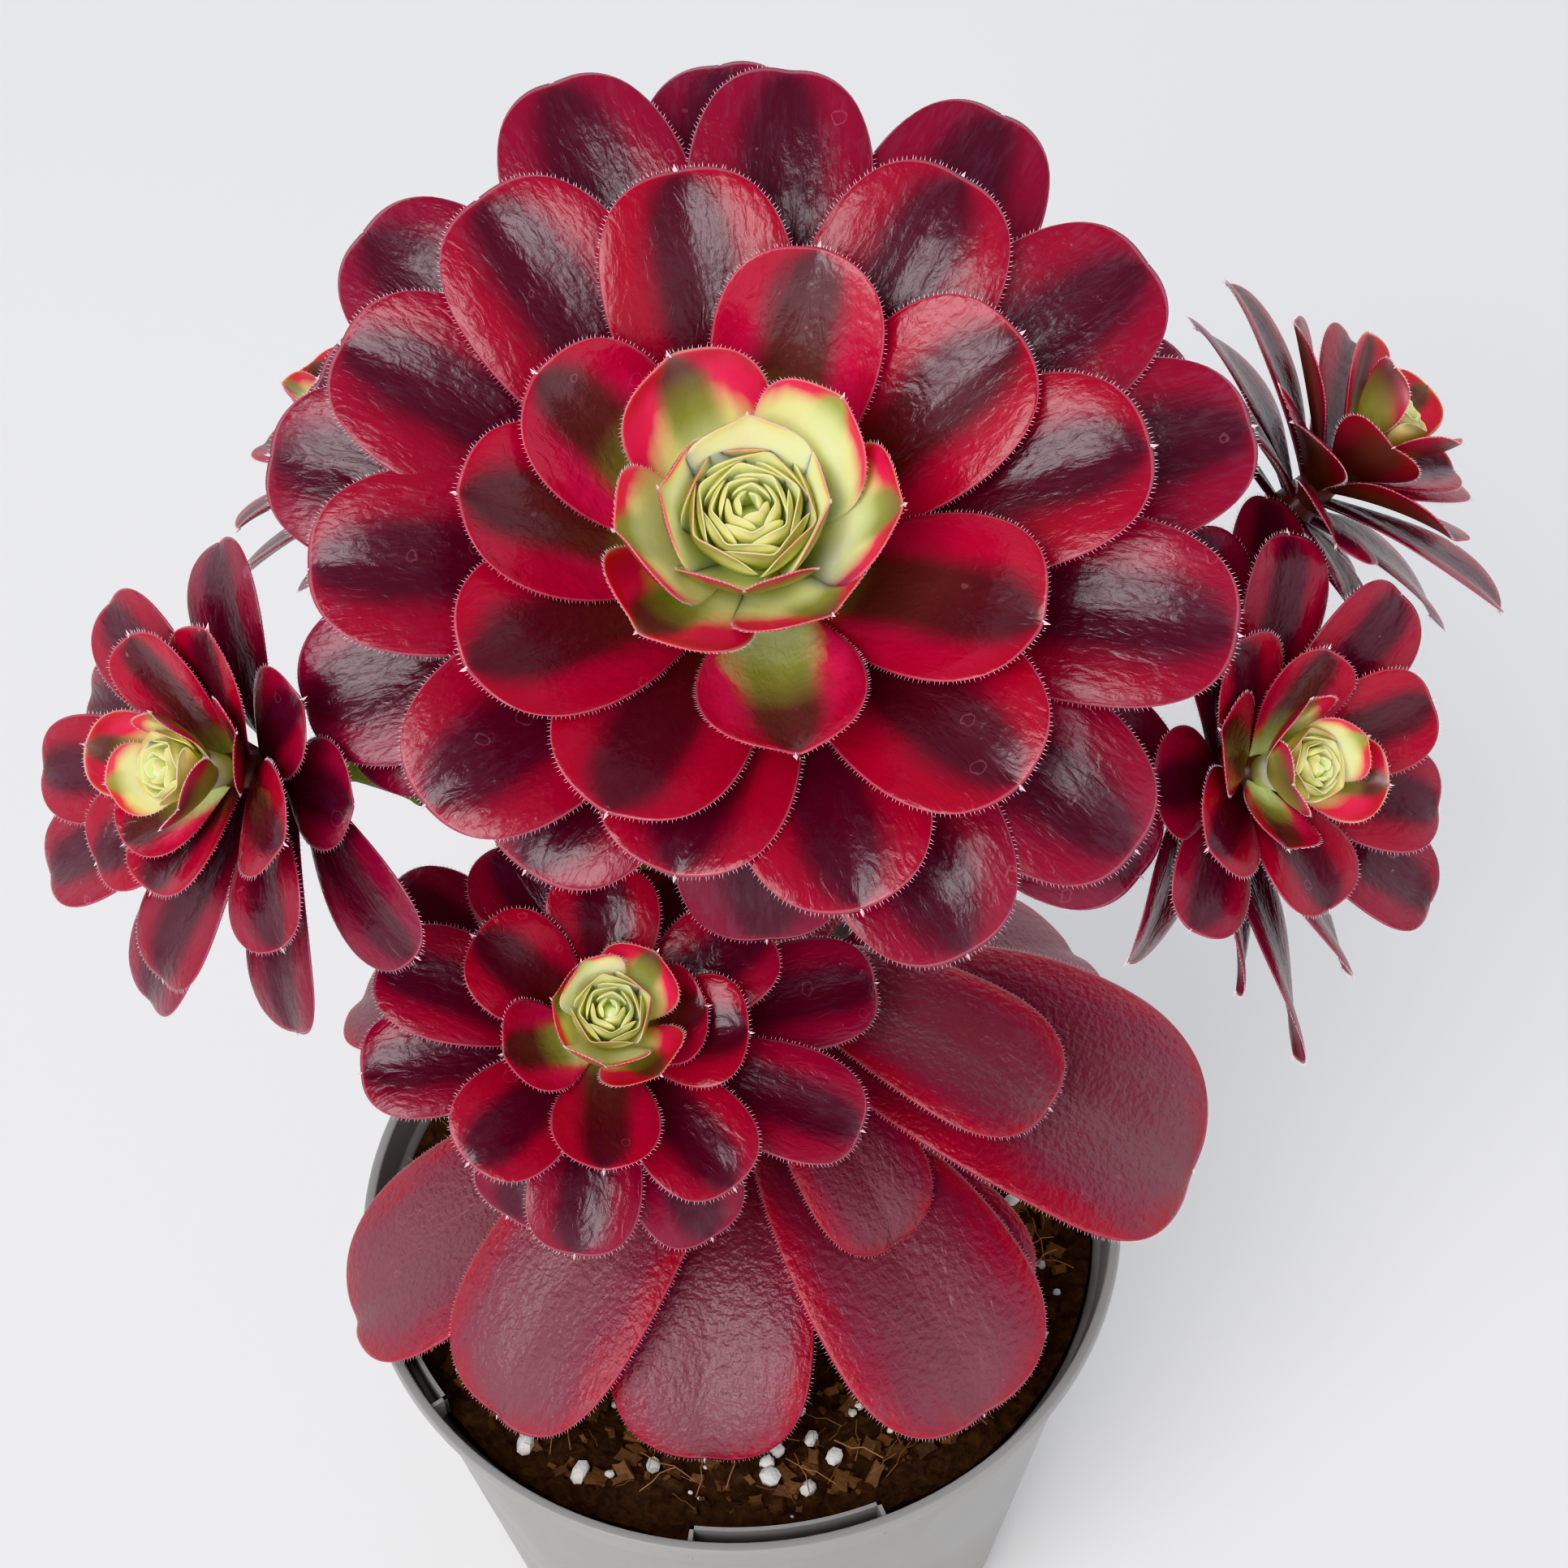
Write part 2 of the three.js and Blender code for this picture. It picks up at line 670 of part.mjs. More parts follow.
// A big old leaf on the trunk, its claw cut to sit against the bark.
function makeLowerLeaf({ height, azimuth, length, width, rise, curl }, trunk) {
  const compass = radians(azimuth);
  const start = TRUNK_TOP_RADIUS / 2;
  const root = trunkAt(height).add(
    new THREE.Vector3(start * Math.cos(compass), start * Math.sin(compass), 0),
  );
  const leaf = makeLeaf({
    root,
    axis: leaning(0, 0),
    azimuth,
    length: length + start,
    width,
    fullness: OLD_FULLNESS,
    thickness: 2.8,
    rise,
    curl,
    cup: 0.1,
    stations: BROAD_STATIONS,
  });
  return cutClear(leaf, trunk);
}

function meshOf(name, solid, finish) {
  const { vertProperties, triVerts } = solid.getMesh();
  const geometry = new THREE.BufferGeometry();
  geometry.setAttribute("position", new THREE.BufferAttribute(vertProperties, 3));
  geometry.setIndex(new THREE.BufferAttribute(triVerts, 1));
  geometry.computeVertexNormals();
  const mesh = new THREE.Mesh(geometry, new THREE.MeshStandardMaterial(finish));
  mesh.name = name;
  return mesh;
}

const plant = new THREE.Group();
plant.add(meshOf("pot", makePot(), FINISH.pot));
plant.add(meshOf("soil", makeSoil(), FINISH.soil));
const trunk = makeTrunk();
plant.add(meshOf("trunk", trunk, FINISH.bark));
for (const head of HEADS) {
  const { heart, leaves } = makeHead(head);
  plant.add(meshOf(`${head.name}_heart`, heart, FINISH.heart));
  plant.add(meshOf(`${head.name}_leaves`, leaves, FINISH.leaf));
}
LOWER_LEAVES.forEach((leaf, i) => {
  plant.add(meshOf(`lower_leaf_${i + 1}`, makeLowerLeaf(leaf, trunk), FINISH.oldLeaf));
});

export default plant;
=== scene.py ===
"""Potted aeonium: six crimson rosettes on a branched stem in a grey nursery pot.

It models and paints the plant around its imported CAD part, in the part's own frame. Lengths in
the code are millimetres, and meshes are written in metres.
"""

import math
import random

import bpy
import numpy as np
from bpy.props import (
    FloatProperty,
    FloatVectorProperty,
    IntProperty,
    PointerProperty,
)
from mathutils import Euler, Matrix, Vector, noise


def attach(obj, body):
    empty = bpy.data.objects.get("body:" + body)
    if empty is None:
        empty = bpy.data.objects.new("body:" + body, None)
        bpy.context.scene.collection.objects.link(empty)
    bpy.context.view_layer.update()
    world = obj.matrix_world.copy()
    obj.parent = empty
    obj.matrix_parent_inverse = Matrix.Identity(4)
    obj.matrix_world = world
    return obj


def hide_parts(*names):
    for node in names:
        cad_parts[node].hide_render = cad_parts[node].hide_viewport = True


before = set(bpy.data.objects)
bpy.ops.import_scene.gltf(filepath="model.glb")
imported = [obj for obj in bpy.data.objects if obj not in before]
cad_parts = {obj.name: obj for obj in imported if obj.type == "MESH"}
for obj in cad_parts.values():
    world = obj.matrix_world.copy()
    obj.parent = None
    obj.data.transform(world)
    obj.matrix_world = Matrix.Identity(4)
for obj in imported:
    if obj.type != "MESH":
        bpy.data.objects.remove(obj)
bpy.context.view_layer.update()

bl_info = {
    "name": "Potted aeonium",
    "version": (1, 0, 0),
    "blender": (4, 5, 0),
    "location": "View3D > Sidebar > Aeonium",
    "description": "Models and paints a branched crimson aeonium in a nursery pot",
    "category": "Add Mesh",
}

MM = 0.001
BODY = "root"

# The golden angle in degrees, and a full turn in radians as the random draws take it.
GOLDEN_ANGLE = 137.5
RANDOM_TURN = 6.28

# Pot, as in the CAD part.
POT_HEIGHT = 130.0
RIM_RADIUS = 85.0
RIM_WIDTH = 2.4
BAND_BOTTOM = 119.0
BODY_TOP_RADIUS = 80.8
BAND_RADIUS = 82.6
BASE_RADIUS = 63.0
PAD_RADIUS = 20.0
WALL = 1.7
FOOT_LIFT = 2.5
FLOOR_TOP = 4.7
DRAIN_RING_RADIUS = 36.0
DRAIN_RADIUS = 5.0
DRAIN_COUNT = 6
DRILL_LENGTH = 12.0
DRILL_MIDDLE = 3.6
POCKET_OUTER = 79.6
POCKET_THICKNESS = 0.9
POCKET_HEIGHT = 6.0
POCKET_TOP = 128.8
POCKETS = [(-84.0, 29.0), (-152.0, 17.0)]

# Soil.
SOIL_TOP = 121.0
SOIL_RADIUS = 78.5
SOIL_BOTTOM_RADIUS = 59.7
SOIL_FLOOR = 5.0
SOIL_CELLS = 130

# Loose bits on the soil: least and greatest size, lift above the soil as a share of the bit's
# thickness, and length, breadth and thickness as shares of its size.
LOOSE_BITS = {
    "soil_chips": {"sizes": (1.0, 4.6), "lift": 0.3, "shares": (1, 0.6, 0.45)},
    "soil_fibres": {"sizes": (4, 16), "lift": 0.9, "shares": (1, 1, 1)},
    "soil_perlite": {"sizes": (0.4, 2.7), "lift": 0.6, "shares": (1, 0.85, 0.75)},
}
CLEAR_OF_WALL = 5.5

# Stems: the trunk's line from foot to top, radii from foot to tip, and the scars on a limb.
TRUNK_PATH = [(0, 5, 76), (0, 5, 121), (2, 8, 170), (5, 15, 230), (7.5, 25, 270)]
TRUNK_RADII = (7.5, 6.2)
BRANCH_RADII = (4.2, 3.8)
NECK_LENGTH = 14.0
BRANCH_SAG = 0.12
LIMB_SIDES = 28
RING_GAP = 0.9
SCAR_GAP = 3.1
SCAR_REACH = 3.2
SCAR_RELIEF = 0.38

# Blade of a leaf: a narrow claw that widens to a blunt round end. A fuller blade widens sooner.
CLAW_SHARE = 0.13
WIDEST_AT = 0.71
END_POWER = 2.4
HEAD_FULLNESS = 0.25
OLD_FULLNESS = 1.0
LEAST_HALF_WIDTH = 0.02

# A blade's cup, groove and wave. The groove is a share of the width, the wave a phase along it.
CUP_POWER = 1.7
GROOVE_DEPTH = 0.018
GROOVE_HALF_WIDTH = 0.12
WAVE_ALONG = 7.5
WAVE_ACROSS = 1.1

# Young leaves curl inward round the heart, and grown ones arch outward. A leaf sits lower than
# its place in the head by an opening that grows with its age, and by one more on the collar.
YOUNG_CURL = 42.0
OLD_CURL = -26.0
ARCHED_BY_AGE = 0.5
LEAF_OPENING = (4.0, 9.0)
COLLAR_OPENING = 5.0
COLLAR_SHARE = 0.8

# Small leaves of a head's heart, from the youngest to the oldest: length and height as shares
# of the bud's height, rise, and cup. All of them curl alike.
INNER_LENGTH = (0.65, 1.45)
INNER_TOP = (1.62, 1.40)
INNER_RISE = (94, 63)
INNER_CUP = (0.6, 0.56)
INNER_CURL = 30

# Leaves of a head redden later than they grow.
RIPENING = 1.25

# Ripeness of a head's green core and of its crown.
CORE_AGE = 0.01
CROWN_AGE = 0.6

# The rim of a grown blade rolls down a little outside this share of its breadth.
ROLL_FROM = 0.55

# Hairs stand on a leaf's edge from this share of its length outward.
HAIRS_FROM = 0.16
HAIR_RADIUS = 0.07
HAIR_COLOUR = (0.86, 0.66, 0.68, 1)
EDGE_SAMPLES = 60

# A soft key light from the front left, and a sky that is a little blue.
KEY_PLACE = (-0.55, -0.85, 1.30)
KEY_SIZE = 0.9
KEY_TINT = (0.97, 0.96, 1.0)
SKY_TINT = (0.90, 0.93, 1.0, 1)

# What the five smaller heads share, where a head doesn't say otherwise.
SMALL_HEAD = {
    "width": 21,
    "drop": 16,
    "root_radius": 2,
    "claw": 1.5,
    "core_radius": 4.6,
    "heart_leaves": 4,
    "inner_leaves": 12,
    "bud_height": 8,
}

# Rosettes: leaves stand in the order in which they grew, as azimuth, length of blade and, for
# a leaf that turns its face aside, its twist.
HEADS = [
    {
        "name": "main",
        "apex": (8.6, 9.1, 319.5),
        "lean": (24, 42),
        "toward": -90,
        "youngest": 0.03,
        "width": 34,
        "drop": 15,
        "rise": (72, 10),
        "root_radius": 5,
        "claw": 2,
        "core_radius": 7.5,
        "heart_leaves": 10,
        "inner_leaves": 20,
        "bud_height": 14,
        "leaves": [
            (90, 26), (356, 23), (171, 25), (265, 24), (44, 34), (196, 34), (352, 36), (302, 33),
            (117, 37), (230, 38), (278, 53), (145, 50), (74, 54), (175, 55), (336, 58), (208, 59),
            (33, 60), (243, 59), (312, 68), (100, 67), (9, 72), (256, 62), (284, 69), (58, 74),
            (127, 77), (218, 72), (182, 76), (152, 79), (347, 84), (34, 84), (233, 66), (12, 88),
            (296, 77), (320, 82), (84, 85), (111, 90), (166, 85), (59, 89), (138, 89), (196, 81),
            (319, 86), (92, 88), (202, 77), (326, 85), (20, 84), (155, 84), (270, 66),
        ],
    },
    {
        **SMALL_HEAD,
        "name": "front",
        "apex": (-21.7, -29, 233.7),
        "lean": (20, 30),
        "toward": -75,
        "youngest": 0.05,
        "width": 22.5,
        "drop": 13,
        "rise": (72, 0),
        "heart_leaves": 5,
        "inner_leaves": 14,
        "bud_height": 9,
        "branch_from": 186,
        "leaves": [
            (124, 18), (265, 20), (168, 16), (52, 19), (307, 19), (199, 24), (10, 20),
            (267, 31), (147, 32), (357, 27), (93, 32), (224, 37), (307, 38), (33, 36),
            (163, 45), (119, 42), (339, 51), (187, 46), (261, 40), (12, 54), (298, 42),
            (143, 52), (64, 36), (90, 34), (240, 38),
        ],
    },
    {
        **SMALL_HEAD,
        "name": "left",
        "apex": (-90.6, -7.6, 286),
        "lean": (52, 60),
        "toward": -142,
        "youngest": 0.08,
        "rise": (72, 12),
        "branch_from": 232,
        "leaves": [
            (195, 17), (75, 17), (320, 18), (160, 22), (225, 22), (20, 20),
            (107, 30), (247, 26), (70, 29), (212, 33), (330, 28), (178, 44),
            (127, 41), (30, 24), (202, 53), (290, 34), (239, 46), (163, 48),
            (345, 24), (105, 42), (228, 62), (119, 38), (265, 50), (310, 44),
        ],
    },
    {
        **SMALL_HEAD,
        "name": "right",
        "apex": (101.7, -10.4, 279.6),
        "lean": (48, 56),
        "toward": -45,
        "youngest": 0.08,
        "rise": (72, 12),
        "branch_from": 226,
        "leaves": [
            (34, 17), (200, 17), (116, 20), (346, 20), (255, 18), (79, 26),
            (160, 24), (23, 35), (124, 30), (215, 25), (291, 29), (50, 44),
            (348, 41), (86, 44), (185, 24), (240, 32), (328, 52), (105, 45),
            (80, 50), (307, 48, 55), (276, 41, 50), (12, 48), (293, 61, 55), (245, 38, 40),
        ],
    },
    {
        **SMALL_HEAD,
        "name": "back_right",
        "apex": (122, 45, 307),
        "lean": (42, 50),
        "toward": 15,
        "youngest": 0.13,
        "rise": (74, 6),
        "branch_from": 236,
        "leaves": [
            (200, 18), (60, 18), (320, 19), (130, 22), (255, 22), (15, 24),
            (172, 30), (95, 34), (300, 30), (35, 36), (220, 30), (140, 42),
            (345, 42), (70, 44), (265, 27), (190, 34), (116, 48), (20, 50),
            (310, 22), (160, 36), (50, 48), (0, 40),
        ],
    },
    {
        **SMALL_HEAD,
        "name": "back_left",
        "apex": (-67, 74, 297),
        "lean": (40, 48),
        "toward": 150,
        "youngest": 0.1,
        "width": 20,
        "rise": (74, 8),
        "branch_from": 242,
        "leaves": [
            (170, 17), (35, 17), (290, 18), (110, 21), (240, 22),
            (0, 26), (150, 30), (70, 31), (310, 26), (205, 34), (120, 38),
            (30, 36), (265, 34), (180, 42), (90, 42), (335, 25), (230, 33),
            (145, 46), (50, 44), (290, 30),
        ],
    },
]

# Big old leaves low on the trunk: height on the trunk, azimuth, length, width, rise, curl.
LOWER_LEAVES = [
    (160, -159, 97, 44, 5, -50),
    (172, -130, 88, 43, 0, -45),
    (164, -98, 77, 43, 0, -45),
    (170, -55, 87, 48, 5, -50),
    (194, -20, 98, 60, 7, -40),
    (205, -32, 66, 34, 10, -30),
    (190, -56, 56, 28, -5, -45),
    (158, -38, 70, 30, 10, -40),
    (172, 30, 90, 42, 10, -50),
    (182, 78, 92, 44, 8, -50),
    (170, 122, 88, 42, 8, -50),
    (188, 165, 90, 42, 8, -45),
]

# Camera of the photograph: place, angle below the horizon, roll and lens.
CAMERA_PLACE = (12.7, -332.4, 639.3)
CAMERA_PITCH = 48.1
CAMERA_ROLL = -1.9
CAMERA_LENS = 61.49


def colour(code):
    """A linear colour from six hex digits as seen on a screen."""
    shares = [int(code[i : i + 2], 16) / 255 for i in (0, 2, 4)]
    return tuple(s / 12.92 if s <= 0.04045 else ((s + 0.055) / 1.055) ** 2.4 for s in shares)


def colour_prop(name, description, code):
    """A colour property with a hex default."""
    return FloatVectorProperty(
        name=name, description=description, subtype="COLOR", min=0, max=1, default=colour(code)
    )


def length_prop(name, description, default):
    """A length property in metres."""
    return FloatProperty(name=name, description=description, unit="LENGTH", default=default)


def power_prop(name, description, default):
    """A property for the strength of a light."""
    return FloatProperty(name=name, description=description, min=0, default=default)


class AeoniumPotProps(bpy.types.PropertyGroup):
    """Sizes and colours of the pot."""

    sides: IntProperty(name="Sides", description="Facets round the pot", default=128, min=24)
    edge_radius: length_prop("Edge radius", "Rounding of the pot's edges", 0.0004)
    plastic: colour_prop("Plastic", "Colour of the pot's plastic", "8f8d89")
    dust: colour_prop("Dust", "Colour of the dust and dried splashes on the pot", "a09a8f")


class AeoniumSoilProps(bpy.types.PropertyGroup):
    """Amounts and colours of the potting soil."""

    chips: IntProperty(name="Chips", description="Bark chips on the soil", default=900, min=0)
    fibres: IntProperty(name="Fibres", description="Loose fibres on the soil", default=520, min=0)
    perlite: IntProperty(name="Perlite", description="White perlite grains", default=300, min=0)
    peat: colour_prop("Peat", "Colour of the dark peat", "3a291e")
    bark: colour_prop("Bark", "Colour of the pale bark chips", "75553d")
    grain: colour_prop("Perlite colour", "Colour of the perlite grains", "ece8e0")


class AeoniumStemProps(bpy.types.PropertyGroup):
    """Colours of the trunk and branches."""

    green: colour_prop("Green bark", "Colour of the young bark", "6f7436")
    brown: colour_prop("Brown bark", "Colour of the old bark", "6b5136")
    scar: colour_prop("Scars", "Colour of the leaf scars", "3d2c20")


class AeoniumLeafProps(bpy.types.PropertyGroup):
    """Sizes and colours of the leaves."""

    hair_length: length_prop("Hair length", "Length of the hairs on a leaf's edge", 0.0006)
    hair_gap: length_prop("Hair gap", "Space between hairs on a leaf's edge", 0.0008)
    lime: colour_prop("Lime", "Colour of the heart", "f6ffbe")
    cream: colour_prop("Cream", "Colour of young leaves near their base", "f9f2a4")
    pink: colour_prop("Pink", "Colour of young margins", "e2385f")
    crimson: colour_prop("Crimson", "Colour of grown leaves", "980820")
    wine: colour_prop("Wine", "Colour of the oldest crimson leaves", "760d28")
    olive: colour_prop("Olive", "Colour of the middle patch on young leaves", "979a55")
    umber: colour_prop("Umber", "Colour of the middle patch on half-grown leaves", "643f3c")
    maroon: colour_prop("Maroon", "Colour of the middle stripe on grown leaves", "470e1a")
    edge: colour_prop("Edge", "Colour of the fine pale line on the edge", "dc93a2")
    # Painted shade laid over the base of grown leaves.
    painted_base_shade: colour_prop("Night", "Colour of the base of grown leaves", "2a0610")
    # Haze and bloom colour a film that is partly a real waxy bloom and partly painted sheen.
    haze_and_sheen: colour_prop("Haze", "Colour of the fine mottling on old leaves", "7a5059")
    bloom_and_sheen: colour_prop("Bloom And Sheen", "Colour of the waxy bloom on grown leaves", "7f6478")
    mauve: colour_prop("Mauve", "Colour of the old lower leaves", "782038")
    moss: colour_prop("Moss", "Colour of the middle of the old lower leaves", "743a40")
    underside: colour_prop("Underside", "Colour under the grown leaves", "5b3a30")


class AeoniumStageProps(bpy.types.PropertyGroup):
    """Floor and light."""

    floor: colour_prop("Floor", "Colour of the floor", "e9e7e3")
    key_power: power_prop("Key light", "Power of the soft light in front", 17)
    horizon: power_prop("Low sky", "Strength of the light from low all round", 1.55)
    zenith: power_prop("High sky", "Strength of the light from overhead", 0.55)


# Small tools.


def deselect_all():
    """Deselects every object."""
    for other in bpy.context.selected_objects:
        other.select_set(False)


def select_only(obj):
    """Makes one object the only selected and active one."""
    deselect_all()
    obj.select_set(True)
    bpy.context.view_layer.objects.active = obj


def primitive(add, **settings):
    """The object that a primitive's operator makes, alone selected."""
    deselect_all()
    add(**settings)
    return bpy.context.object


def square_grid(name, columns, rows):
    """A flat square grid, two wide."""
    grid = primitive(
        bpy.ops.mesh.primitive_grid_add, x_subdivisions=columns, y_subdivisions=rows, size=2
    )
    grid.name = name
    return grid


def edit_all():
    """Enters edit mode with everything selected."""
    bpy.ops.object.mode_set(mode="EDIT")
    bpy.ops.mesh.select_all(action="SELECT")


def leave_edit(outward=False):
    """Leaves edit mode, if asked with every face turned outward."""
    if outward:
        bpy.ops.mesh.select_all(action="SELECT")
        bpy.ops.mesh.normals_make_consistent(inside=False)
    bpy.ops.object.mode_set(mode="OBJECT")


def mesh_object(name, points, faces):
    """A new object from points in millimetres."""
    mesh = bpy.data.meshes.new(name)
    mesh.from_pydata((np.asarray(points, float) * MM).tolist(), [], [tuple(f) for f in faces])
    mesh.update()
    made = bpy.data.objects.new(name, mesh)
    bpy.context.scene.collection.objects.link(made)
    return made


def mesh_arrays(mesh):
    """Vertices and faces of a mesh, the vertices in its own units."""
    points = np.zeros(len(mesh.vertices) * 3)
    mesh.vertices.foreach_get("co", points)
    return points.reshape(-1, 3), [tuple(p.vertices) for p in mesh.polygons]


def set_attribute(mesh, name, values):
    """Writes one vector for each point of a mesh."""
    attribute = mesh.attributes.get(name) or mesh.attributes.new(name, "FLOAT_VECTOR", "POINT")
    attribute.data.foreach_set("vector", np.asarray(values, np.float32).ravel())


def get_attribute(mesh, name):
    """Reads the vectors of a mesh's points."""
    values = np.zeros(len(mesh.vertices) * 3, np.float32)
    mesh.attributes[name].data.foreach_get("vector", values)
    return values.reshape(-1, 3)


def apply_modifier(obj, kind, **settings):
    """Adds a modifier with its settings and applies it."""
    select_only(obj)
    modifier = obj.modifiers.new(kind, kind)
    for key, value in settings.items():
        setattr(modifier, key, value)
    bpy.ops.object.modifier_apply(modifier=modifier.name)


def join_into(target, others):
    """Joins other objects into the target."""
    select_only(target)
    for other in others:
        other.select_set(True)
    bpy.ops.object.join()


def smooth(obj, degrees=None):
    """Shades an object smooth, or smooth but for edges sharper than an angle."""
    select_only(obj)
    if degrees is None:
        bpy.ops.object.shade_smooth()
    else:
        bpy.ops.object.shade_smooth_by_angle(angle=math.radians(degrees))


def finish_piece(obj, nodes=()):
    """Puts a finished piece on the part's body, in place of its plain solids if it has some."""
    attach(obj, BODY)
    if nodes:
        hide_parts(*nodes)


def paint(obj, *finishes):
    """Gives an object its finishes."""
    for finish in finishes:
        obj.data.materials.append(finish)


def copies_as_one(name, master, placements, tones):
    """Copies of a master mesh at many places, as one object. Each copy keeps a tone of its own."""
    points, faces = mesh_arrays(master.data)
    placed, numbered, tone_of = [], [], []
    for k, (place, tone) in enumerate(zip(placements, tones)):
        matrix = np.array(place)
        placed.append(points @ matrix[:3, :3].T + matrix[:3, 3])
        numbered += [tuple(i + k * len(points) for i in face) for face in faces]
        tone_of += [(tone, 0.0, 0.0)] * len(points)
    made = mesh_object(name, np.concatenate(placed) / MM, numbered)
    set_attribute(made.data, "tone", tone_of)
    return made


# Shader tools.


class Number:
    """A number in a shader. Each sum on it adds the node that works it out."""

    def __init__(self, socket):
        self.socket = socket

    def sum(self, operation, first, second=0.0):
        """One sum, on constants or on other shader numbers."""
        inputs = {0: first, 1: second}
        node = put(self.socket.id_data, "ShaderNodeMath", inputs, operation=operation)
        return Number(node.outputs[0])

    def __add__(self, other):
        return self.sum("ADD", self, other)

    def __sub__(self, other):
        return self.sum("SUBTRACT", self, other)

    def __rsub__(self, other):
        return self.sum("SUBTRACT", other, self)

    def __mul__(self, other):
        return self.sum("MULTIPLY", self, other)

    def __pow__(self, power):
        return self.sum("POWER", self, power)

    def __abs__(self):
        return self.sum("ABSOLUTE", self)

    def root(self):
        """The square root."""
        return self.sum("SQRT", self)

    def above(self, limit):
        """One where the number is over a limit, or else zero."""
        return self.sum("GREATER_THAN", self, limit)

    def clamped(self):
        """The same number, kept from 0 to 1."""
        self.socket.node.use_clamp = True
        return self

    def ramp(self, low, high, start=0.0, end=1.0):
        """A soft step from start to end as the number goes from low to high."""
        inputs = {"Value": self, "From Min": low, "From Max": high, "To Min": start, "To Max": end}
        node = put(self.socket.id_data, "ShaderNodeMapRange", inputs, interpolation_type="SMOOTHSTEP")
        return Number(node.outputs["Result"])


def feed(target, value):
    """Gives an input its value: a constant, or a link from a socket or a shader number."""
    if isinstance(value, Number):
        value = value.socket
    if isinstance(value, bpy.types.NodeSocket):
        target.id_data.links.new(value, target)
    else:
        target.default_value = value


def put(tree, kind, inputs=None, **settings):
    """Adds a node, with values or links for its inputs."""
    node = tree.nodes.new(kind)
    for key, value in settings.items():
        setattr(node, key, value)
    for key, value in (inputs or {}).items():
        feed(node.inputs[key], value)
    return node


def numbers_from(node):
    """The numbers that a node gives out, by name."""
    return {socket.name: Number(socket) for socket in node.outputs}


def parts(tree, vector):
    """The X, Y and Z of a vector or a colour."""
    return numbers_from(put(tree, "ShaderNodeSeparateXYZ", {0: vector}))


def attribute_parts(tree, name):
    """The X, Y and Z of an attribute of the mesh."""
    return parts(tree, put(tree, "ShaderNodeAttribute", attribute_name=name).outputs["Vector"])


def mix_colours(tree, share, first, second):
    """One colour laid over another by a share."""
    node = put(tree, "ShaderNodeMix", {0: share}, data_type="RGBA")
    for index, value in ((6, first), (7, second)):
        feed(node.inputs[index], value if isinstance(value, bpy.types.NodeSocket) else (*value, 1.0))
    return node.outputs[2]


def colour_steps(tree, value, steps):
    """A colour that changes with a value through (position, colour) steps."""
    node = put(tree, "ShaderNodeValToRGB", {"Fac": value})
    elements = node.color_ramp.elements
    while len(elements) < len(steps):
        elements.new(1.0)
    for element, (position, shade) in zip(elements, steps):
        element.position = position
        element.color = (*shade, 1.0)
    return node.outputs["Color"]


def noise_at(tree, place, scale, detail, distortion):
    """Noise at a place, as a number from 0 to 1."""
    inputs = {"Vector": place, "Scale": scale, "Detail": detail, "Distortion": distortion}
    return Number(put(tree, "ShaderNodeTexNoise", inputs).outputs["Fac"])


def object_noise(tree, scale, detail, distortion=0.0):
    """Noise fixed to the object."""
    place = put(tree, "ShaderNodeTexCoord").outputs["Object"]
    return noise_at(tree, place, scale, detail, distortion)


def blade_noise(tree, scale, stretch, detail=3.0, distortion=0.3):
    """Noise laid on the blade in millimetres and drawn out along it, another on each leaf."""
    blade, growth = attribute_parts(tree, "blade"), attribute_parts(tree, "growth")
    across = blade["X"] * (growth["Z"] * 0.22)
    along = blade["Y"] * (growth["Z"] * (1 / stretch))
    apart = growth["Y"] * 900.0
    place = put(tree, "ShaderNodeCombineXYZ", {"X": across, "Y": along, "Z": apart}).outputs[0]
    return noise_at(tree, place, scale, detail, distortion)


def new_group(name, inputs, outputs):
    """An empty shader group with its sockets: the numbers given to it, and where its own go."""
    group = bpy.data.node_groups.new(name, "ShaderNodeTree")
    for label, default in inputs:
        socket = group.interface.new_socket(label, in_out="INPUT", socket_type="NodeSocketFloat")
        socket.default_value = default
    for label in outputs:
        group.interface.new_socket(label, in_out="OUTPUT", socket_type="NodeSocketFloat")
    given = numbers_from(group.nodes.new("NodeGroupInput"))
    return group, given, group.nodes.new("NodeGroupOutput").inputs


def use_group(tree, name, build, **values):
    """The numbers of a shader group, which is built the first time that it is asked for."""
    node = put(tree, "ShaderNodeGroup", node_tree=bpy.data.node_groups.get(name) or build(name))
    for key, value in values.items():
        node.inputs[key.replace("_", " ")].default_value = value
    return numbers_from(node)


def build_leaf_zones(name):
    """Where the middle stripe, the pale edge, the ripe parts and the far end of a leaf are."""
    group, given, out = new_group(
        name,
        [("Stripe Width", 0.4), ("Softness", 0.12), ("Fray", 0.1), ("Edge Width", 0.04)],
        ["Stripe", "Edge", "Ripeness", "Middle Ripeness", "Along", "Age"],
    )
    blade, age = attribute_parts(group, "blade"), attribute_parts(group, "growth")["X"]
    along, rim = blade["Y"], blade["Z"]
    fray = (blade_noise(group, 0.35, 5.0) - 0.5) * given["Fray"]
    closing = ((along - 0.80) * 5.2).clamped()
    width = given["Stripe Width"] * (1.0 - closing**2.0).root()
    inner, outer = width - given["Softness"], width + given["Softness"]
    stripe = (abs(blade["X"]) + fray).ramp(inner, outer, 1.0, 0.0)
    feed(out["Stripe"], stripe * (age * 16.0 + 0.25).clamped())
    feed(out["Edge"], rim.ramp(1.0 - given["Edge Width"], 1.0))
    youth = (1.0 - age * 1.3).clamped()
    middle = age - (1.0 - along) * 0.36 * youth
    ripe_edge = rim**2.0 * 0.10 * (age * 12.0).clamped()
    feed(out["Ripeness"], middle + fray * 0.4 + ripe_edge)
    feed(out["Middle Ripeness"], middle)
    feed(out["Along"], along)
    feed(out["Age"], age)
    return group


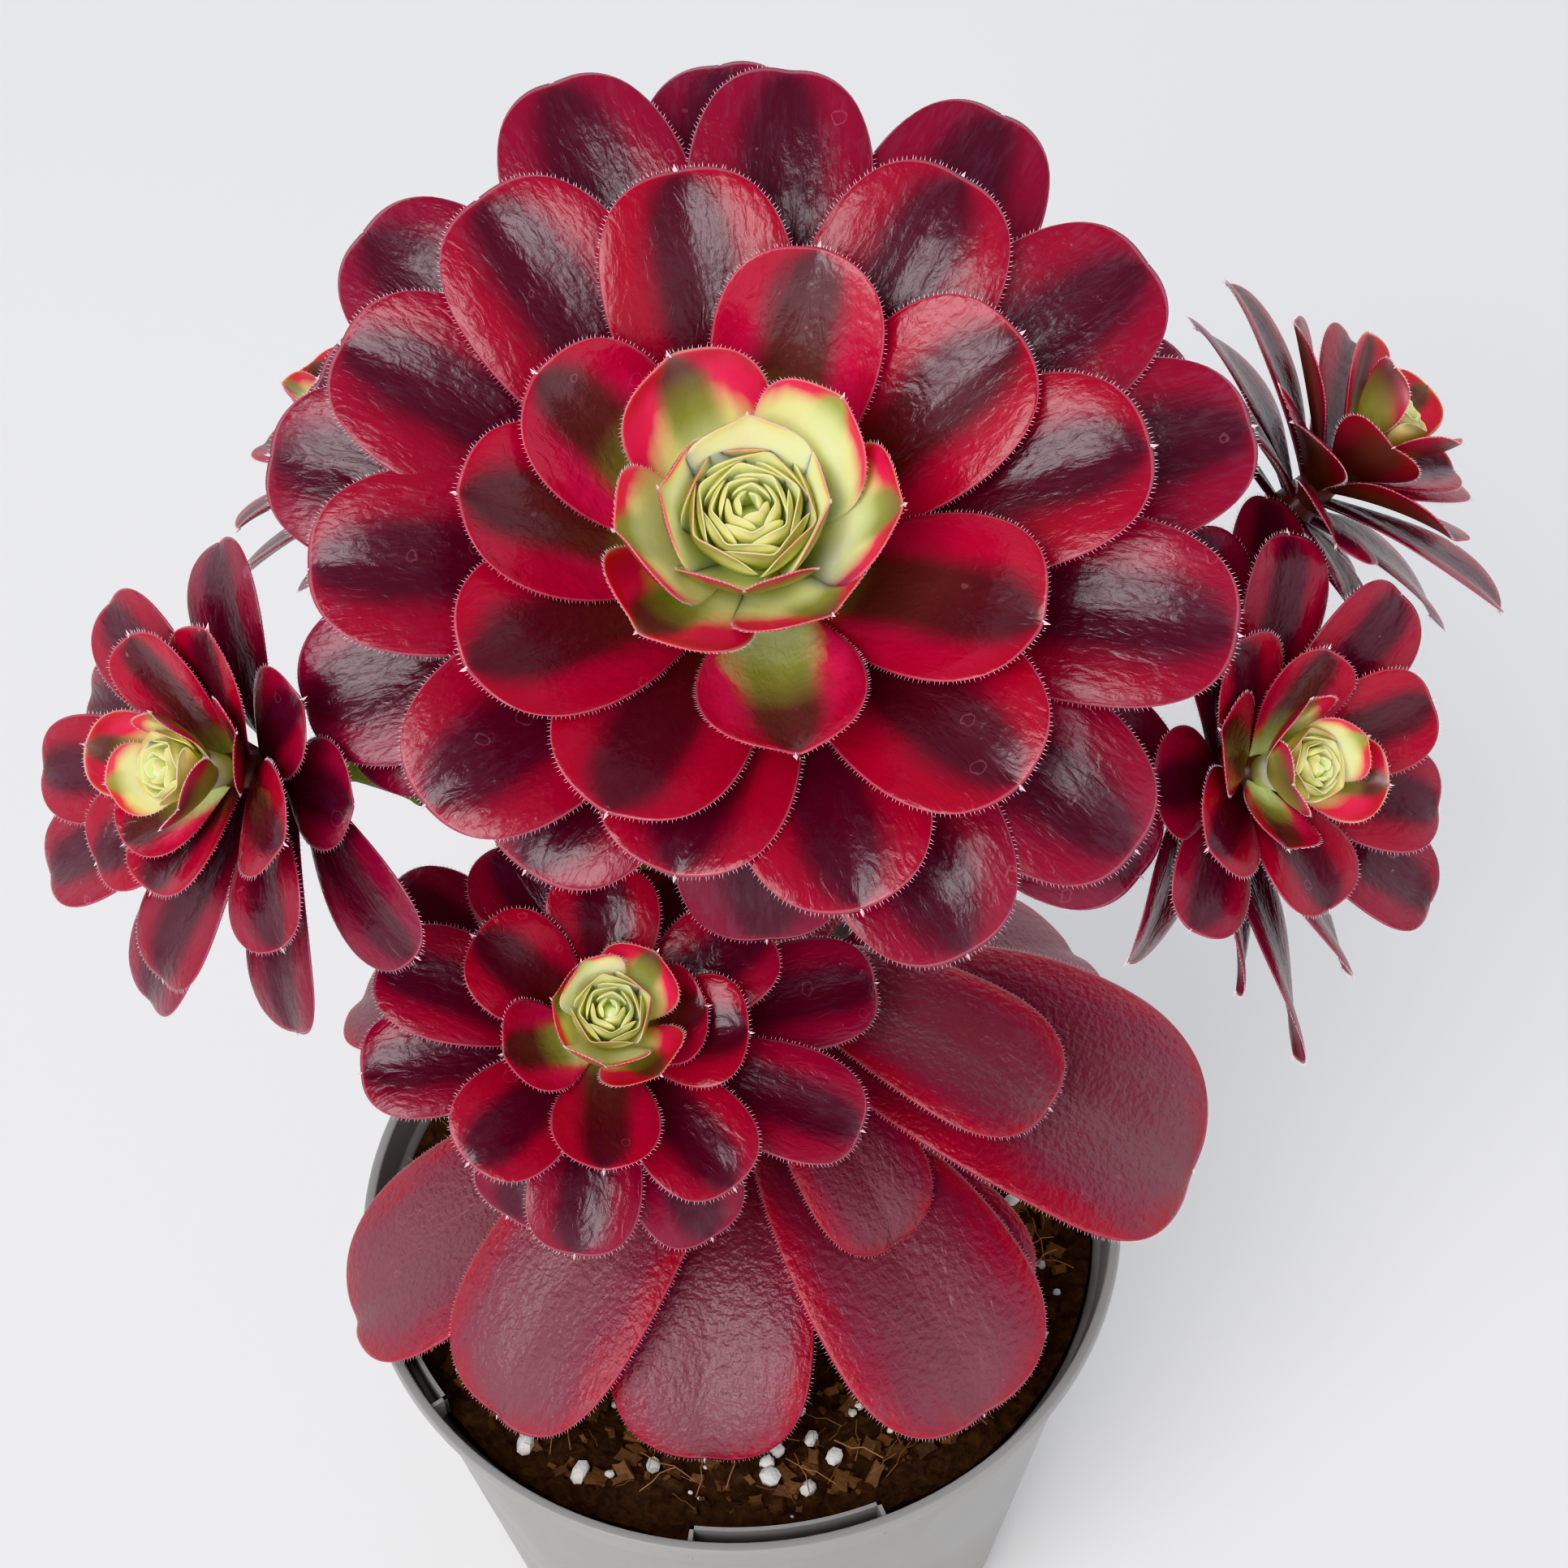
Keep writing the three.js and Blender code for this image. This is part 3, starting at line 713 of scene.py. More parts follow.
def build_wrinkles(name):
    """Lengthwise wrinkles and fine pebbling of a fleshy skin, with the bloom and painted sheen on them.
    """
    group, given, out = new_group(name, [("Pebbling", 0.5)], ["Height", "Bloom And Sheen"])
    creases = blade_noise(group, 0.55, 2.6, 4.0, 1.2)
    dents = blade_noise(group, 0.16, 1.6, 2.0, 0.6)
    pebbles = blade_noise(group, 0.8, 1.1, 2.0, 0.0)
    feed(out["Height"], creases + dents * 1.6 + pebbles * given["Pebbling"])
    # The mottle of the bloom and of its painted sheen.
    streaks = blade_noise(group, 0.8, 4.0, 4.0, 0.5).ramp(0.40, 0.68)
    feed(out["Bloom And Sheen"], streaks * dents.ramp(0.32, 0.66))
    return group


def vector_sum(tree, operation, inputs):
    """One sum on vectors."""
    return put(tree, "ShaderNodeVectorMath", inputs, operation=operation).outputs[0]


def build_water_marks(name):
    """Rings left by dried drops, and a few pale specks of dust."""
    group, given, out = new_group(name, [("Amount", 0.5)], ["Mark"])
    place = put(group, "ShaderNodeTexCoord").outputs["Object"]
    warp = put(group, "ShaderNodeTexNoise", {"Vector": place, "Scale": 420.0}).outputs["Color"]
    warp = vector_sum(group, "SUBTRACT", {0: warp, 1: (0.5, 0.5, 0.5)})
    warp = vector_sum(group, "SCALE", {0: warp, "Scale": 0.0022})
    place = vector_sum(group, "ADD", {0: place, 1: warp})
    drops = put(group, "ShaderNodeTexVoronoi", {"Vector": place, "Scale": 110.0}).outputs
    specks = put(group, "ShaderNodeTexVoronoi", {"Vector": place, "Scale": 260.0}).outputs
    drop_chance, speck_chance = parts(group, drops["Color"]), parts(group, specks["Color"])
    radius = drop_chance["Y"] * 0.10 + 0.08
    ring = abs(Number(drops["Distance"]) - radius).ramp(0.006, 0.020, 1.0, 0.0)
    ring = ring * drop_chance["X"].above(0.55)
    speck = Number(specks["Distance"]).ramp(0.05, 0.10, 1.0, 0.0) * speck_chance["X"].above(0.90)
    feed(out["Mark"], (ring * 0.55 + speck).clamped() * given["Amount"])
    return group


def new_material(name, **values):
    """A material with its shader and the constant values of it."""
    material = bpy.data.materials.new(name)
    material.use_nodes = True
    tree = material.node_tree
    shader = tree.nodes["Principled BSDF"]
    for key, value in values.items():
        shader.inputs[key.replace("_", " ")].default_value = value
    return material, tree, shader


def bump(tree, shader, height, distance):
    """Feeds a height to the shader as fine relief, the distance in millimetres."""
    node = put(tree, "ShaderNodeBump", {"Height": height, "Distance": distance * MM})
    feed(shader.inputs["Normal"], node.outputs["Normal"])


def leaf_material(name, sides, stripes, look, stripe, skin, marks, values):
    """The skin of a leaf: sides that ripen with age, a middle stripe, a fine edge, painted shade at the
    base and a bloom with painted sheen.
    """
    material, tree, shader = new_material(name, **values)
    zones = use_group(tree, "Leaf zones", build_leaf_zones, **stripe)
    relief = use_group(tree, "Skin wrinkles", build_wrinkles, Pebbling=skin["pebbling"])
    water = use_group(tree, "Water marks", build_water_marks, Amount=marks)
    side = colour_steps(tree, zones["Ripeness"], sides)
    middle = colour_steps(tree, zones["Middle Ripeness"], stripes)
    shown = mix_colours(tree, zones["Stripe"], side, middle)
    grown = zones["Age"].ramp(0.15, 0.6)
    # Painted shade: grown leaves darken to a near-black red toward their base.
    base_shade_share = grown * zones["Along"].ramp(0.15, 0.65, skin["base"], 0.0)
    shown = mix_colours(tree, base_shade_share, shown, look.painted_base_shade)
    # Painted sheen, partly a real waxy bloom: a mottled violet-grey film that grows toward each leaf's
    # far end.
    bloom_and_sheen = (relief["Bloom And Sheen"] * 0.75 + 0.25) * grown * zones["Along"].ramp(0.40, 1.0, 0.12, 1.0)
    shown = mix_colours(tree, bloom_and_sheen * skin["bloom_and_sheen"], shown, skin["bloom_sheen_colour"])
    shown = mix_colours(tree, zones["Edge"] * skin["edge"], shown, look.edge)
    shown = mix_colours(tree, water["Mark"], shown, look.edge)
    feed(shader.inputs["Base Color"], shown)
    rough = relief["Bloom And Sheen"].ramp(0.0, 1.0, skin["gloss"], skin["gloss"] + 0.10)
    feed(shader.inputs["Roughness"], rough)
    bump(tree, shader, relief["Height"], skin["depth"])
    return material


def blend(first, second, share):
    """A colour between two others."""
    return tuple(a + (b - a) * share for a, b in zip(first, second))


def lit(shade, share):
    """A colour made paler or darker."""
    return tuple(min(1.0, share * c) for c in shade)


def make_leaf_materials(look):
    """The finishes of the leaves, for hearts, crimson leaves, old leaves and undersides."""
    sides = [
        (0.0, look.lime),
        (0.055, look.cream),
        (0.12, look.pink),
        (0.21, blend(look.pink, look.crimson, 0.8)),
        (0.36, look.crimson),
        (0.70, blend(look.crimson, look.wine, 0.6)),
        (1.0, look.wine),
    ]
    stripes = [
        (0.0, look.lime),
        (0.03, blend(look.lime, look.olive, 0.4)),
        (0.07, look.olive),
        (0.13, look.umber),
        (0.22, blend(look.umber, look.maroon, 0.7)),
        (0.38, look.maroon),
    ]
    heart_values = {
        "Coat_Weight": 0.1,
        "Coat_Roughness": 0.3,
        "Subsurface_Weight": 0.8,
        "Subsurface_Radius": (1.0, 0.9, 0.4),
        "Subsurface_Scale": 0.003,
    }
    crimson_values = {"Specular_IOR_Level": 0.4, "Coat_Weight": 0.12, "Coat_Roughness": 0.2}
    old_values = {"Specular_IOR_Level": 0.4, "Coat_Weight": 0.1, "Coat_Roughness": 0.3}
    narrow = {"Stripe_Width": 0.36, "Softness": 0.14, "Fray": 0.12, "Edge_Width": 0.03}
    broad = {"Stripe_Width": 0.47, "Softness": 0.21, "Fray": 0.20, "Edge_Width": 0.015}
    diffuse = {"Stripe_Width": 0.60, "Softness": 0.38, "Fray": 0.25, "Edge_Width": 0.03}
    # A skin's base share darkens a grown leaf's base as painted shade; its film colour and bloom share
    # paint the bloom with painted sheen.
    plain = {"base": 0.0, "bloom_sheen_colour": look.bloom_and_sheen}
    young = {**plain, "pebbling": 0.2, "depth": 0.10, "gloss": 0.34, "bloom_and_sheen": 0.1, "edge": 0.25}
    grown = {"pebbling": 0.3, "depth": 0.28, "gloss": 0.24, "bloom_and_sheen": 0.14, "edge": 0.2}
    grown = {**plain, **grown, "base": 0.7}
    pebbled = {"pebbling": 1.4, "depth": 0.34, "gloss": 0.34, "bloom_and_sheen": 0.4, "edge": 0.12}
    pebbled = {**plain, **pebbled, "bloom_sheen_colour": look.haze_and_sheen}
    old_sides = [(0.0, look.mauve), (0.93, look.mauve), (0.99, look.crimson)]
    old_stripes = [(0.0, look.moss), (1.0, look.moss)]
    under_sides = [
        (0.0, look.cream),
        (0.05, look.olive),
        (0.12, blend(look.umber, look.pink, 0.5)),
        (0.30, blend(look.underside, look.crimson, 0.6)),
        (0.9, look.wine),
    ]
    under_stripes = [
        (0.0, look.olive),
        (0.12, look.umber),
        (0.3, look.underside),
        (0.9, blend(look.underside, look.maroon, 0.5)),
    ]
    finishes = {
        "Heart leaf": (sides, stripes, look, narrow, young, 0.08, heart_values),
        "Crimson leaf": (sides, stripes, look, broad, grown, 0.22, crimson_values),
        "Old leaf": (old_sides, old_stripes, look, diffuse, pebbled, 0.12, old_values),
        "Leaf underside": (under_sides, under_stripes, look, diffuse, young, 0.05, old_values),
    }
    return {name: leaf_material(name, *finish) for name, finish in finishes.items()}


def make_hair_material():
    """Pale hairs on the leaves' edges."""
    return new_material("Leaf hair", Base_Color=HAIR_COLOUR, Roughness=0.5)[0]


def make_pot_material(look):
    """Satin grey plastic with a little dust and faint moulding streaks."""
    material, tree, shader = new_material("Pot plastic")
    streaks = object_noise(tree, 18, 6, 0.5)
    dusty = streaks.ramp(0.5, 0.72, 0.0, 0.35)
    feed(shader.inputs["Base Color"], mix_colours(tree, dusty, look.plastic, look.dust))
    feed(shader.inputs["Roughness"], streaks.ramp(0.35, 0.7, 0.36, 0.55))
    bump(tree, shader, object_noise(tree, 900, 2), 0.03)
    return material


def make_soil_material(look):
    """Dark crumbly peat."""
    material, tree, shader = new_material("Peat", Roughness=0.95)
    crumb = object_noise(tree, 420, 6, 0.6)
    steps = [(0.30, lit(look.peat, 0.35)), (0.55, look.peat), (0.75, lit(look.bark, 0.4))]
    feed(shader.inputs["Base Color"], colour_steps(tree, crumb, steps))
    bump(tree, shader, crumb, 1.2)
    return material


def make_toned_material(name, dark, pale, roughness, scale, depth):
    """Loose bits whose colour goes from dark to pale by the tone of each bit."""
    material, tree, shader = new_material(name, Roughness=roughness)
    grain = object_noise(tree, scale, 4)
    tone = (attribute_parts(tree, "tone")["X"] + (grain - 0.5) * 0.8).clamped()
    feed(shader.inputs["Base Color"], mix_colours(tree, tone, dark, pale))
    bump(tree, shader, grain, depth)
    return material


def make_bark_material(look):
    """Olive green bark, browner low down, with dark leaf scars."""
    material, tree, shader = new_material("Bark", Roughness=0.6)
    stem = attribute_parts(tree, "stem")
    brown = stem["Y"] + (object_noise(tree, 160, 5, 0.5) - 0.5)
    shade = mix_colours(tree, brown.ramp(0.2, 0.8), look.green, look.brown)
    feed(shader.inputs["Base Color"], mix_colours(tree, stem["X"], shade, look.scar))
    bump(tree, shader, object_noise(tree, 700, 4, 0.6), 0.35)
    return material


# Lines and leaves.


def mix(pair, share):
    """A value between two, by a share."""
    return pair[0] + (pair[1] - pair[0]) * share


def eased(share):
    """A share that leaves 0 and reaches 1 softly."""
    return share * share * (3 - 2 * share)


def unit(vectors):
    """Vectors brought to a length of one."""
    return vectors / np.linalg.norm(vectors, axis=-1, keepdims=True)


def distance_along(line):
    """How far along a line each of its points lies."""
    return np.concatenate([[0], np.cumsum(np.linalg.norm(np.diff(line, axis=0), axis=1))])


def points_at(stops, far, line):
    """The points, or other vectors, at stops on a line whose own points lie that far along."""
    return np.stack([np.interp(stops, far, line[:, i]) for i in range(3)], 1)


def past_widest(along):
    """How far a place on a blade lies past its widest part, from 0 to 1 at the end."""
    return np.clip((along - WIDEST_AT) / (1 - WIDEST_AT), 0, 1)


def blade_outline(along, fullness):
    """Half width of a blade along its length, as a share of its greatest half width."""
    t = np.clip(along / WIDEST_AT, 0, 1)
    widening = mix((eased(t), 1 - (1 - t) ** 2), fullness)
    end = (1 - past_widest(along) ** END_POWER) ** (1 / END_POWER)
    return np.where(along < WIDEST_AT, mix((CLAW_SHARE, 1), widening), end)


def model_blade(name, columns, rows, fullness):
    """A flat blade, one long and two wide: a grid narrowed row by row, its far corners rounded."""
    blade = square_grid(name, columns, rows)
    edit_all()
    bpy.ops.mesh.select_mode(type="VERT")
    bpy.ops.transform.resize(value=(1, 0.5, 1), center_override=(0, 0, 0))
    bpy.ops.transform.translate(value=(0, 0.5, 0))
    leave_edit()
    square, _ = mesh_arrays(blade.data)
    for row in range(math.ceil(WIDEST_AT * rows)):
        along = row / rows
        edit_all()
        bpy.ops.mesh.select_all(action="DESELECT")
        leave_edit()
        for vertex, place in zip(blade.data.vertices, square):
            vertex.select = abs(place[1] - along) < 0.25 / rows
        bpy.ops.object.mode_set(mode="EDIT")
        share = float(blade_outline(np.array(along), fullness))
        bpy.ops.transform.resize(value=(share, 1, 1), center_override=(0, along, 0))
        leave_edit()
    flat, _ = mesh_arrays(blade.data)
    end, x, t = square[:, 1] >= WIDEST_AT, square[:, 0], past_widest(square[:, 1])
    disc_x, disc_y = x * np.sqrt(1 - t * t / 2), t * np.sqrt(1 - x * x / 2)
    turn = np.arctan2(disc_y, np.abs(disc_x))
    blunt = (np.cos(turn) ** END_POWER + np.sin(turn) ** END_POWER) ** (-1 / END_POWER)
    flat[end, 0] = (disc_x * blunt)[end]
    flat[end, 1] = mix((WIDEST_AT, 1), disc_y * blunt)[end]
    blade.data.vertices.foreach_set("co", flat.ravel())
    blade.data.update()
    rim = np.maximum(np.abs(x), t)
    set_attribute(blade.data, "blade", np.stack([flat[:, 0], flat[:, 1], rim], 1))
    return blade


def leaning(lean, toward):
    """A unit vector that leans from upright toward a compass direction."""
    tilt, compass = math.radians(lean), math.radians(toward)
    reach = math.sin(tilt)
    return np.array([reach * math.cos(compass), reach * math.sin(compass), math.cos(tilt)])


def out_direction(axis, azimuth):
    """The direction at an azimuth round an axis."""
    east = unit(np.array([1.0, 0, 0]) - axis * axis[0])
    turn = math.radians(azimuth)
    return east * math.cos(turn) + np.cross(axis, east) * math.sin(turn)


def rim_share(across, along, local):
    """How far a point lies from the middle of a blade toward its rim, from 0 to 1."""
    beside = np.abs(across) / np.maximum(local, LEAST_HALF_WIDTH)
    beyond = (np.abs(across) ** END_POWER + past_widest(along) ** END_POWER) ** (1 / END_POWER)
    return np.clip(np.where(along < WIDEST_AT, beside, beyond), 0, 1)


def blade_points(leaf, across, along):
    """Points of a flat blade laid on a bent leaf, with the leaf's own up direction there."""
    across, along = np.asarray(across, float), np.asarray(along, float)
    axis, out = leaf["axis"], out_direction(leaf["axis"], leaf["azimuth"])
    start, turn = math.radians(leaf["rise"]), math.radians(leaf["curl"])
    bend = leaf["length"] / turn
    angle = (start + turn * along)[:, None]
    centre = leaf["root"] + out * bend * (np.sin(angle) - math.sin(start))
    centre = centre + axis * bend * (math.cos(start) - np.cos(angle))
    up = axis * np.cos(angle) - out * np.sin(angle)
    ahead = out * np.cos(angle) + axis * np.sin(angle)
    side = np.cross(up, ahead)
    twist = -(leaf["twist"] * along)[:, None]
    side, up = side * np.cos(twist) + up * np.sin(twist), up * np.cos(twist) - side * np.sin(twist)
    half = leaf["width"] / 2
    local = blade_outline(along, leaf["fullness"])
    ratio = np.clip(np.abs(across) / np.maximum(local, LEAST_HALF_WIDTH), 0, 1)
    lift = leaf["cup"] * half * local * ratio**CUP_POWER
    phase = WAVE_ALONG * along + leaf["phase"] + np.sign(across) * WAVE_ACROSS
    wave = leaf["wave"] * ratio**2 * np.sin(phase)
    groove = -GROOVE_DEPTH * leaf["width"] * np.exp(-((across / GROOVE_HALF_WIDTH) ** 2))
    groove = groove * np.clip(along * 1.6 - 0.3, 0, 1)
    near_rim = np.clip(rim_share(across, along, local) - ROLL_FROM, 0, 1)
    roll = -leaf["roll"] * leaf["width"] * near_rim**2
    lifted = up * (lift + wave * along + groove + roll)[:, None]
    return centre + side * (half * across)[:, None] + lifted, up


def leaf_specs(head, rng):
    """All leaves of a rosette by age: the heart's small inner ones, its young ones, the grown."""
    apex, bud = np.array(head["apex"], float), head["bud_height"]
    heart_axis = leaning(head["lean"][0], head["toward"])
    inner = []
    for k in range(head["inner_leaves"]):
        age = (k + 1) / head["inner_leaves"]
        tip_radius = 0.4 + 0.82 * bud * age**0.9
        length, top = bud * mix(INNER_LENGTH, age), bud * mix(INNER_TOP, age)
        chord = mix(INNER_RISE, age)
        azimuth = k * GOLDEN_ANGLE + 30
        rising, reaching = math.sin(math.radians(chord)), math.cos(math.radians(chord))
        inward = out_direction(heart_axis, azimuth) * (tip_radius - length * reaching)
        inner.append(
            {
                "root": apex + heart_axis * (top - length * rising) + inward,
                "axis": heart_axis,
                "azimuth": azimuth,
                "length": length,
                "width": 1.75 * tip_radius + 0.1 * bud,
                "thickness": mix((1.1, 1.6), age) * head["claw"] / 2,
                "rise": chord - INNER_CURL / 2,
                "curl": INNER_CURL,
                "cup": mix(INNER_CUP, age),
                "fullness": HEAD_FULLNESS,
                "roll": 0.0,
                "age": 0.01 + 0.04 * age**2,
                "twist": 0.0,
                "wave": 0.0,
                "phase": 0.0,
                "seed": rng.random(),
            }
        )
    leaves = []
    for i, (azimuth, length, *turned) in enumerate(head["leaves"]):
        age = (i + 1) / len(head["leaves"])
        axis = leaning(mix(head["lean"], age), head["toward"])
        young = i < head["heart_leaves"]
        depth = head["drop"] * age + (0 if young else COLLAR_SHARE * head["core_radius"])
        opening = mix(LEAF_OPENING, age) + (0 if young else COLLAR_OPENING)
        ripe = min(1.0, age / ARCHED_BY_AGE)
        curl = mix((YOUNG_CURL, OLD_CURL), eased(ripe))
        leaves.append(
            {
                "root": apex - axis * depth,
                "axis": axis,
                "azimuth": azimuth,
                "length": length + head["root_radius"],
                "width": head["width"] * mix((0.62, 1), min(1, age / 0.4)),
                "thickness": (0.9 if young else 1.1) * head["claw"],
                "rise": mix(head["rise"], age**0.75) - opening - curl / 2,
                "curl": curl,
                "cup": mix((0.4, 0.14), age**0.5),
                "fullness": HEAD_FULLNESS,
                "roll": 0.24 * ripe,
                "age": mix((head["youngest"], 1), age**RIPENING),
                "twist": math.radians(sum(turned) + rng.uniform(-2.5, 2.5)),
                "wave": 0.016 * head["width"],
                "phase": rng.uniform(0, RANDOM_TURN),
                "seed": rng.random(),
            }
        )
    return inner, leaves[: head["heart_leaves"]], leaves[head["heart_leaves"] :]


def lower_leaf_specs(rng):
    """The big old leaves on the trunk."""
    specs = []
    start = TRUNK_RADII[1] / 2
    for height, azimuth, length, width, rise, curl in LOWER_LEAVES:
        specs.append(
            {
                "root": trunk_at(height) + start * leaning(90, azimuth),
                "axis": np.array([0, 0, 1.0]),
                "azimuth": azimuth,
                "length": length + start,
                "width": width,
                "thickness": 2.8,
                "rise": rise,
                "curl": curl,
                "cup": 0.1,
                "fullness": OLD_FULLNESS,
                "roll": 0.18,
                "age": 0.9,
                "twist": math.radians(rng.uniform(-3, 3)),
                "wave": 0.02 * width,
                "phase": rng.uniform(0, RANDOM_TURN),
                "seed": rng.random(),
            }
        )
    return specs


def leaves_object(name, blade, specs, top, under):
    """Leaves laid from one flat blade, thickened and rounded, as one object with two finishes."""
    flat, faces = mesh_arrays(blade.data)
    marks = get_attribute(blade.data, "blade")
    greatest = max(leaf["thickness"] for leaf in specs)
    points, numbered, weights, blades, growth = [], [], [], [], []
    for k, leaf in enumerate(specs):
        placed, _ = blade_points(leaf, flat[:, 0], flat[:, 1])
        points.append(placed)
        numbered += [tuple(i + k * len(flat) for i in reversed(face)) for face in faces]
        thin = (1 - 0.38 * flat[:, 1]) * (1 - 0.72 * marks[:, 2] ** 4)
        weights.append(thin * leaf["thickness"] / greatest)
        blades.append(marks)
        growth.append(np.tile([leaf["age"], leaf["seed"], leaf["length"]], (len(flat), 1)))
    made = mesh_object(name, np.concatenate(points), numbered)
    set_attribute(made.data, "blade", np.concatenate(blades))
    set_attribute(made.data, "growth", np.concatenate(growth))
    thick = made.vertex_groups.new(name="thick")
    for i, weight in enumerate(np.concatenate(weights)):
        thick.add([i], float(weight), "REPLACE")
    paint(made, top, under)
    shell = {"offset": -1 / 3, "vertex_group": "thick", "use_rim": True, "material_offset": 1}
    apply_modifier(made, "SOLIDIFY", thickness=greatest * MM, **shell)
    apply_modifier(made, "SUBSURF", levels=1, render_levels=1)
    smooth(made)
    return made


def hairs_object(name, specs, look, rng):
    """Short hairs along the edges of leaves, and the small point at each leaf's end."""
    roots, tips, radii = [], [], []
    gap = look.hair_gap / MM
    side = np.linspace(HAIRS_FROM, WIDEST_AT, EDGE_SAMPLES)
    end = mix((WIDEST_AT, 1), np.sin(np.linspace(0, math.pi / 2, EDGE_SAMPLES)))
    along = np.concatenate([side, end])
    inner_along = np.where(along < WIDEST_AT, along, WIDEST_AT + 0.9 * (along - WIDEST_AT))
    for leaf in specs:
        outline = blade_outline(along, leaf["fullness"])
        length = look.hair_length / MM * min(1.0, 0.5 + leaf["length"] / 60)
        for sign in (-1, 1):
            rim, _ = blade_points(leaf, sign * outline, along)
            inside, up = blade_points(leaf, sign * 0.9 * outline, inner_along)
            far = distance_along(rim)
            stops = np.arange(0.5 * gap, far[-1], gap)
            stops = stops + np.array([rng.uniform(-0.25, 0.25) * gap for _ in stops])
            place = points_at(stops, far, rim)
            outward = unit(place - points_at(stops, far, inside))
            foot = place - points_at(stops, far, up) * 0.1 * leaf["thickness"]
            wild = np.array([[rng.uniform(-0.18, 0.18) for _ in range(3)] for _ in stops])
            size = np.array([rng.uniform(0.55, 1.1) for _ in stops])[:, None]
            roots.append(foot - 0.25 * outward)
            tips.append(foot + (outward + wild) * length * size)
            radii.append(np.full(len(stops), HAIR_RADIUS))
        (before, point), _ = blade_points(leaf, np.zeros(2), np.array([0.97, 1.0]))
        ahead = unit(point - before)
        roots.append((point - 0.6 * ahead)[None])
        tips.append((point + min(0.9, 0.03 * leaf["length"] + 0.2) * ahead)[None])
        radii.append(np.array([min(0.5, 0.02 * leaf["width"])]))
    roots, tips, radii = np.concatenate(roots), np.concatenate(tips), np.concatenate(radii)
    ahead = unit(tips - roots)
    across = unit(np.cross(ahead, np.where(np.abs(ahead[:, :1]) < 0.9, [[1.0, 0, 0]], [[0, 1.0, 0]])))
    upright = np.cross(ahead, across)
    corners = []
    for turn in (0, 2 * math.pi / 3, 4 * math.pi / 3):
        corners.append(roots + (across * math.cos(turn) + upright * math.sin(turn)) * radii[:, None])
    points = np.stack([*corners, tips], 1).reshape(-1, 3)
    faces = []
    for first in range(0, len(points), 4):
        a, b, c, tip = range(first, first + 4)
        faces += [(a, c, b), (a, b, tip), (b, c, tip), (c, a, tip)]
    return mesh_object(name, points, faces)


def tube(name, centres, radii, sides):
    """A closed round body along a line of centres. A ring has one radius, or one for each side."""
    centres = np.asarray(centres, float)
    ahead = unit(np.gradient(centres, axis=0))
    helper = np.array([1.0, 0, 0]) if abs(ahead[0][0]) < 0.9 else np.array([0, 1.0, 0])
    across = helper - ahead[0] * helper.dot(ahead[0])
    turns = np.linspace(0, 2 * math.pi, sides, endpoint=False)
    points = []
    for centre, direction, radius in zip(centres, ahead, radii):
        across = unit(across - direction * across.dot(direction))
        upright = np.cross(direction, across)
        ring = np.outer(radius * np.cos(turns), across) + np.outer(radius * np.sin(turns), upright)
        points.append(centre + ring)
    rings = len(centres)
    faces = [tuple(range(sides - 1, -1, -1)), tuple(range((rings - 1) * sides, rings * sides))]
    for i in range(rings - 1):
        for k in range(sides):
            a, b = i * sides + k, i * sides + (k + 1) % sides
            faces.append((a, b, b + sides, a + sides))
    return mesh_object(name, np.concatenate(points), faces)


def trunk_at(height):
    """The middle of the trunk at a height."""
    path = np.array(TRUNK_PATH, float)
    return np.array([np.interp(height, path[:, 2], path[:, i]) for i in range(3)])


def smooth_line(points, steps):
    """Points at even spacing on a smooth curve through the given ones."""
    points = np.asarray(points, float)
    ends = np.concatenate([[2 * points[0] - points[1]], points, [2 * points[-1] - points[-2]]])
    line = []
    for i in range(1, len(ends) - 2):
        a, b, c, d = ends[i - 1 : i + 3]
        for t in np.linspace(0, 1, 24, endpoint=False):
            place = 2 * b + (c - a) * t + (2 * a - 5 * b + 4 * c - d) * t**2
            line.append(0.5 * (place + (3 * b - a - 3 * c + d) * t**3))
    line = np.array([*line, points[-1]])
    far = distance_along(line)
    return points_at(np.linspace(0, far[-1], steps), far, line)


def crown_seat(head):
    """A head's mean axis, the crown's length and the point where its branch ends."""
    axis = leaning(sum(head["lean"]) / 2, head["toward"])
    length = head["drop"] + 2 * head["core_radius"]
    return axis, length, np.array(head["apex"], float) - axis * length


# Operators.


